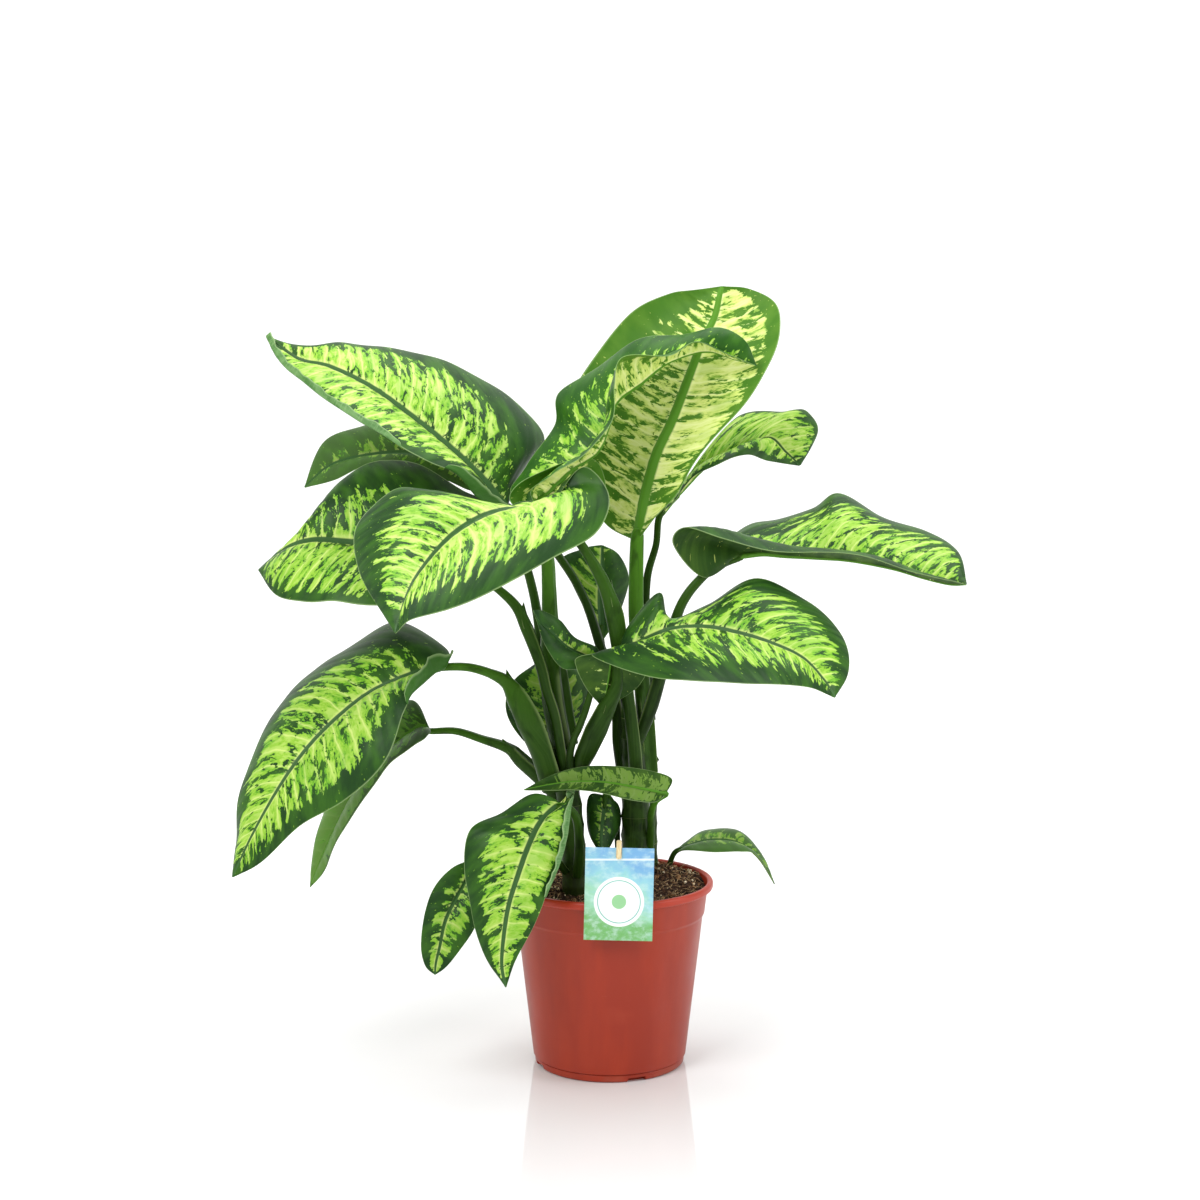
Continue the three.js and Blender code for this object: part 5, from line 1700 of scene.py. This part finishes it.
class DIEFFENBACHIA_OT_tag(bpy.types.Operator):
    """Make the hang tag, its peg and its stake"""

    bl_idname = "dieffenbachia.tag"
    bl_label = "Hang tag"

    def execute(self, context):
        bevel = context.scene.dieffenbachia_tag.bevel
        card, wood = card_finish(*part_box("tag_card")), wood_finish()
        for node, name, finish, size, slot in (
                ("tag_card", "printed_card", card, bevel, "card"),
                ("tag_peg", "wooden_peg", wood, bevel * 8, "peg_wood"),
                ("tag_stake", "wooden_stake", wood, bevel * 1.5, "peg_wood")):
            dress(softened(node, name, finish, size), slot, node)
        return {"FINISHED"}


# Stage

def floor_finish():
    """A pale, glossy floor that glows, as painted light, more away from the plant, up to a white backdrop."""
    f = Finish("Pale floor")
    x, y, _ = f.parts(f.place())
    cloud = f.spread(f.noise(f.place(), 3, 2), 0.3, 0.7, 0.0, 0.04)
    colour = f.mix(cloud, bpy.context.scene.dieffenbachia_stage.floor_colour, (0.8, 0.8, 0.8))
    away = f.math("SQRT", x * x + y * y)
    # Painted light: the floor glows white, not at all near the plant and up to a strength of 0.45 far off.
    f.feed(f.surface.inputs["Emission Color"], (1, 1, 1))
    f.feed(f.surface.inputs["Emission Strength"], f.spread(away, 0.12, 1.6, 0.0, 0.45))
    return f.done(colour, 0.05, Specular_IOR_Level=1.0)


def soft_lamp(name, place, size, power):
    """A wide lamp that faces the plant's middle."""
    data = bpy.data.lights.new(name, "AREA")
    data.shape = "RECTANGLE"
    data.size, data.size_y = size
    data.energy = power * bpy.context.scene.dieffenbachia_stage.light_power
    lamp = placed(name, data)
    lamp.location = place
    lamp.rotation_euler = (Vector(PLANT_MIDDLE) - Vector(place)).to_track_quat("-Z", "Y").to_euler()


def make_floor():
    """A wide floor that bends up into a backdrop."""
    arc = [(math.sin(a) * FLOOR_BEND, FLOOR_BEND - math.cos(a) * FLOOR_BEND)
           for a in np.linspace(0, math.pi / 2, 16)]
    line = [(-FLOOR_REACH, 0.0)] + [(FLOOR_BACK + y, z) for y, z in arc]
    line.append((FLOOR_BACK + FLOOR_BEND, BACKDROP_TOP))
    points = [(x, y, z) for y, z in line for x in (-FLOOR_REACH, FLOOR_REACH)]
    faces = [(2 * i, 2 * i + 1, 2 * i + 3, 2 * i + 2) for i in range(len(line) - 1)]
    mesh = bpy.data.meshes.new("stage_floor")
    mesh.from_pydata(points, [], faces)
    mesh.shade_smooth()
    mesh.materials.append(floor_finish())
    placed("stage_floor", mesh)


def make_camera(scene):
    """The photograph's camera."""
    data = bpy.data.cameras.new("Camera")
    data.sensor_width = SENSOR
    data.lens = EYE_FOCAL / (2 * EYE_MIDDLE) * SENSOR
    data.clip_end = CAMERA_REACH
    camera = placed("Camera", data)
    camera.location = EYE
    camera.rotation_euler = (math.pi / 2 - EYE_TILT, 0, 0)
    scene.camera = camera


class DIEFFENBACHIA_OT_stage(bpy.types.Operator):
    """Make the pale floor, soft studio lamps and camera"""

    bl_idname = "dieffenbachia.stage"
    bl_label = "Stage"

    def execute(self, context):
        make_floor()
        world = bpy.data.worlds.new("Soft studio")
        world.use_nodes = True
        colour, strength = world.node_tree.nodes["Background"].inputs[:2]
        colour.default_value = (1, 1, 1, 1)
        strength.default_value = WORLD_LIGHT
        context.scene.world = world
        soft_lamp("key", (-1.1, -1.5, 2.1), (1.0, 1.0), 34)
        soft_lamp("side", (2.0, -0.6, 1.1), (0.7, 1.6), 15)
        soft_lamp("top", (0.1, 0.3, 2.3), (1.4, 1.4), 26)
        context.scene.view_settings.view_transform = "Standard"
        make_camera(context.scene)
        return {"FINISHED"}


class DIEFFENBACHIA_PT_parts(bpy.types.Panel):
    """Lists the plant's parts"""

    bl_idname = "DIEFFENBACHIA_PT_parts"
    bl_label = "Dieffenbachia"
    bl_space_type = "VIEW_3D"
    bl_region_type = "UI"
    bl_category = "Dieffenbachia"

    def draw(self, context):
        for operator in OPERATORS:
            self.layout.operator(operator.bl_idname)


SETTINGS = {
    "dieffenbachia_pot": PotSettings,
    "dieffenbachia_soil": SoilSettings,
    "dieffenbachia_leaf": LeafSettings,
    "dieffenbachia_cane": CaneSettings,
    "dieffenbachia_tag": TagSettings,
    "dieffenbachia_stage": StageSettings,
}
OPERATORS = (
    DIEFFENBACHIA_OT_stage, DIEFFENBACHIA_OT_pot, DIEFFENBACHIA_OT_soil, DIEFFENBACHIA_OT_soil_bits,
    DIEFFENBACHIA_OT_canes, DIEFFENBACHIA_OT_leaves, DIEFFENBACHIA_OT_tag,
)


def register():
    for name, group in SETTINGS.items():
        bpy.utils.register_class(group)
        setattr(bpy.types.Scene, name, PointerProperty(type=group))
    for kind in (*OPERATORS, DIEFFENBACHIA_PT_parts):
        bpy.utils.register_class(kind)


def unregister():
    for kind in reversed((*OPERATORS, DIEFFENBACHIA_PT_parts)):
        bpy.utils.unregister_class(kind)
    for name, group in SETTINGS.items():
        delattr(bpy.types.Scene, name)
        bpy.utils.unregister_class(group)


def main():
    register()
    bpy.ops.dieffenbachia.stage()
    bpy.ops.dieffenbachia.pot()
    bpy.ops.dieffenbachia.soil()
    bpy.ops.dieffenbachia.soil_bits()
    bpy.ops.dieffenbachia.canes()
    bpy.ops.dieffenbachia.leaves()
    bpy.ops.dieffenbachia.tag()


if __name__ == "__main__":
    main()
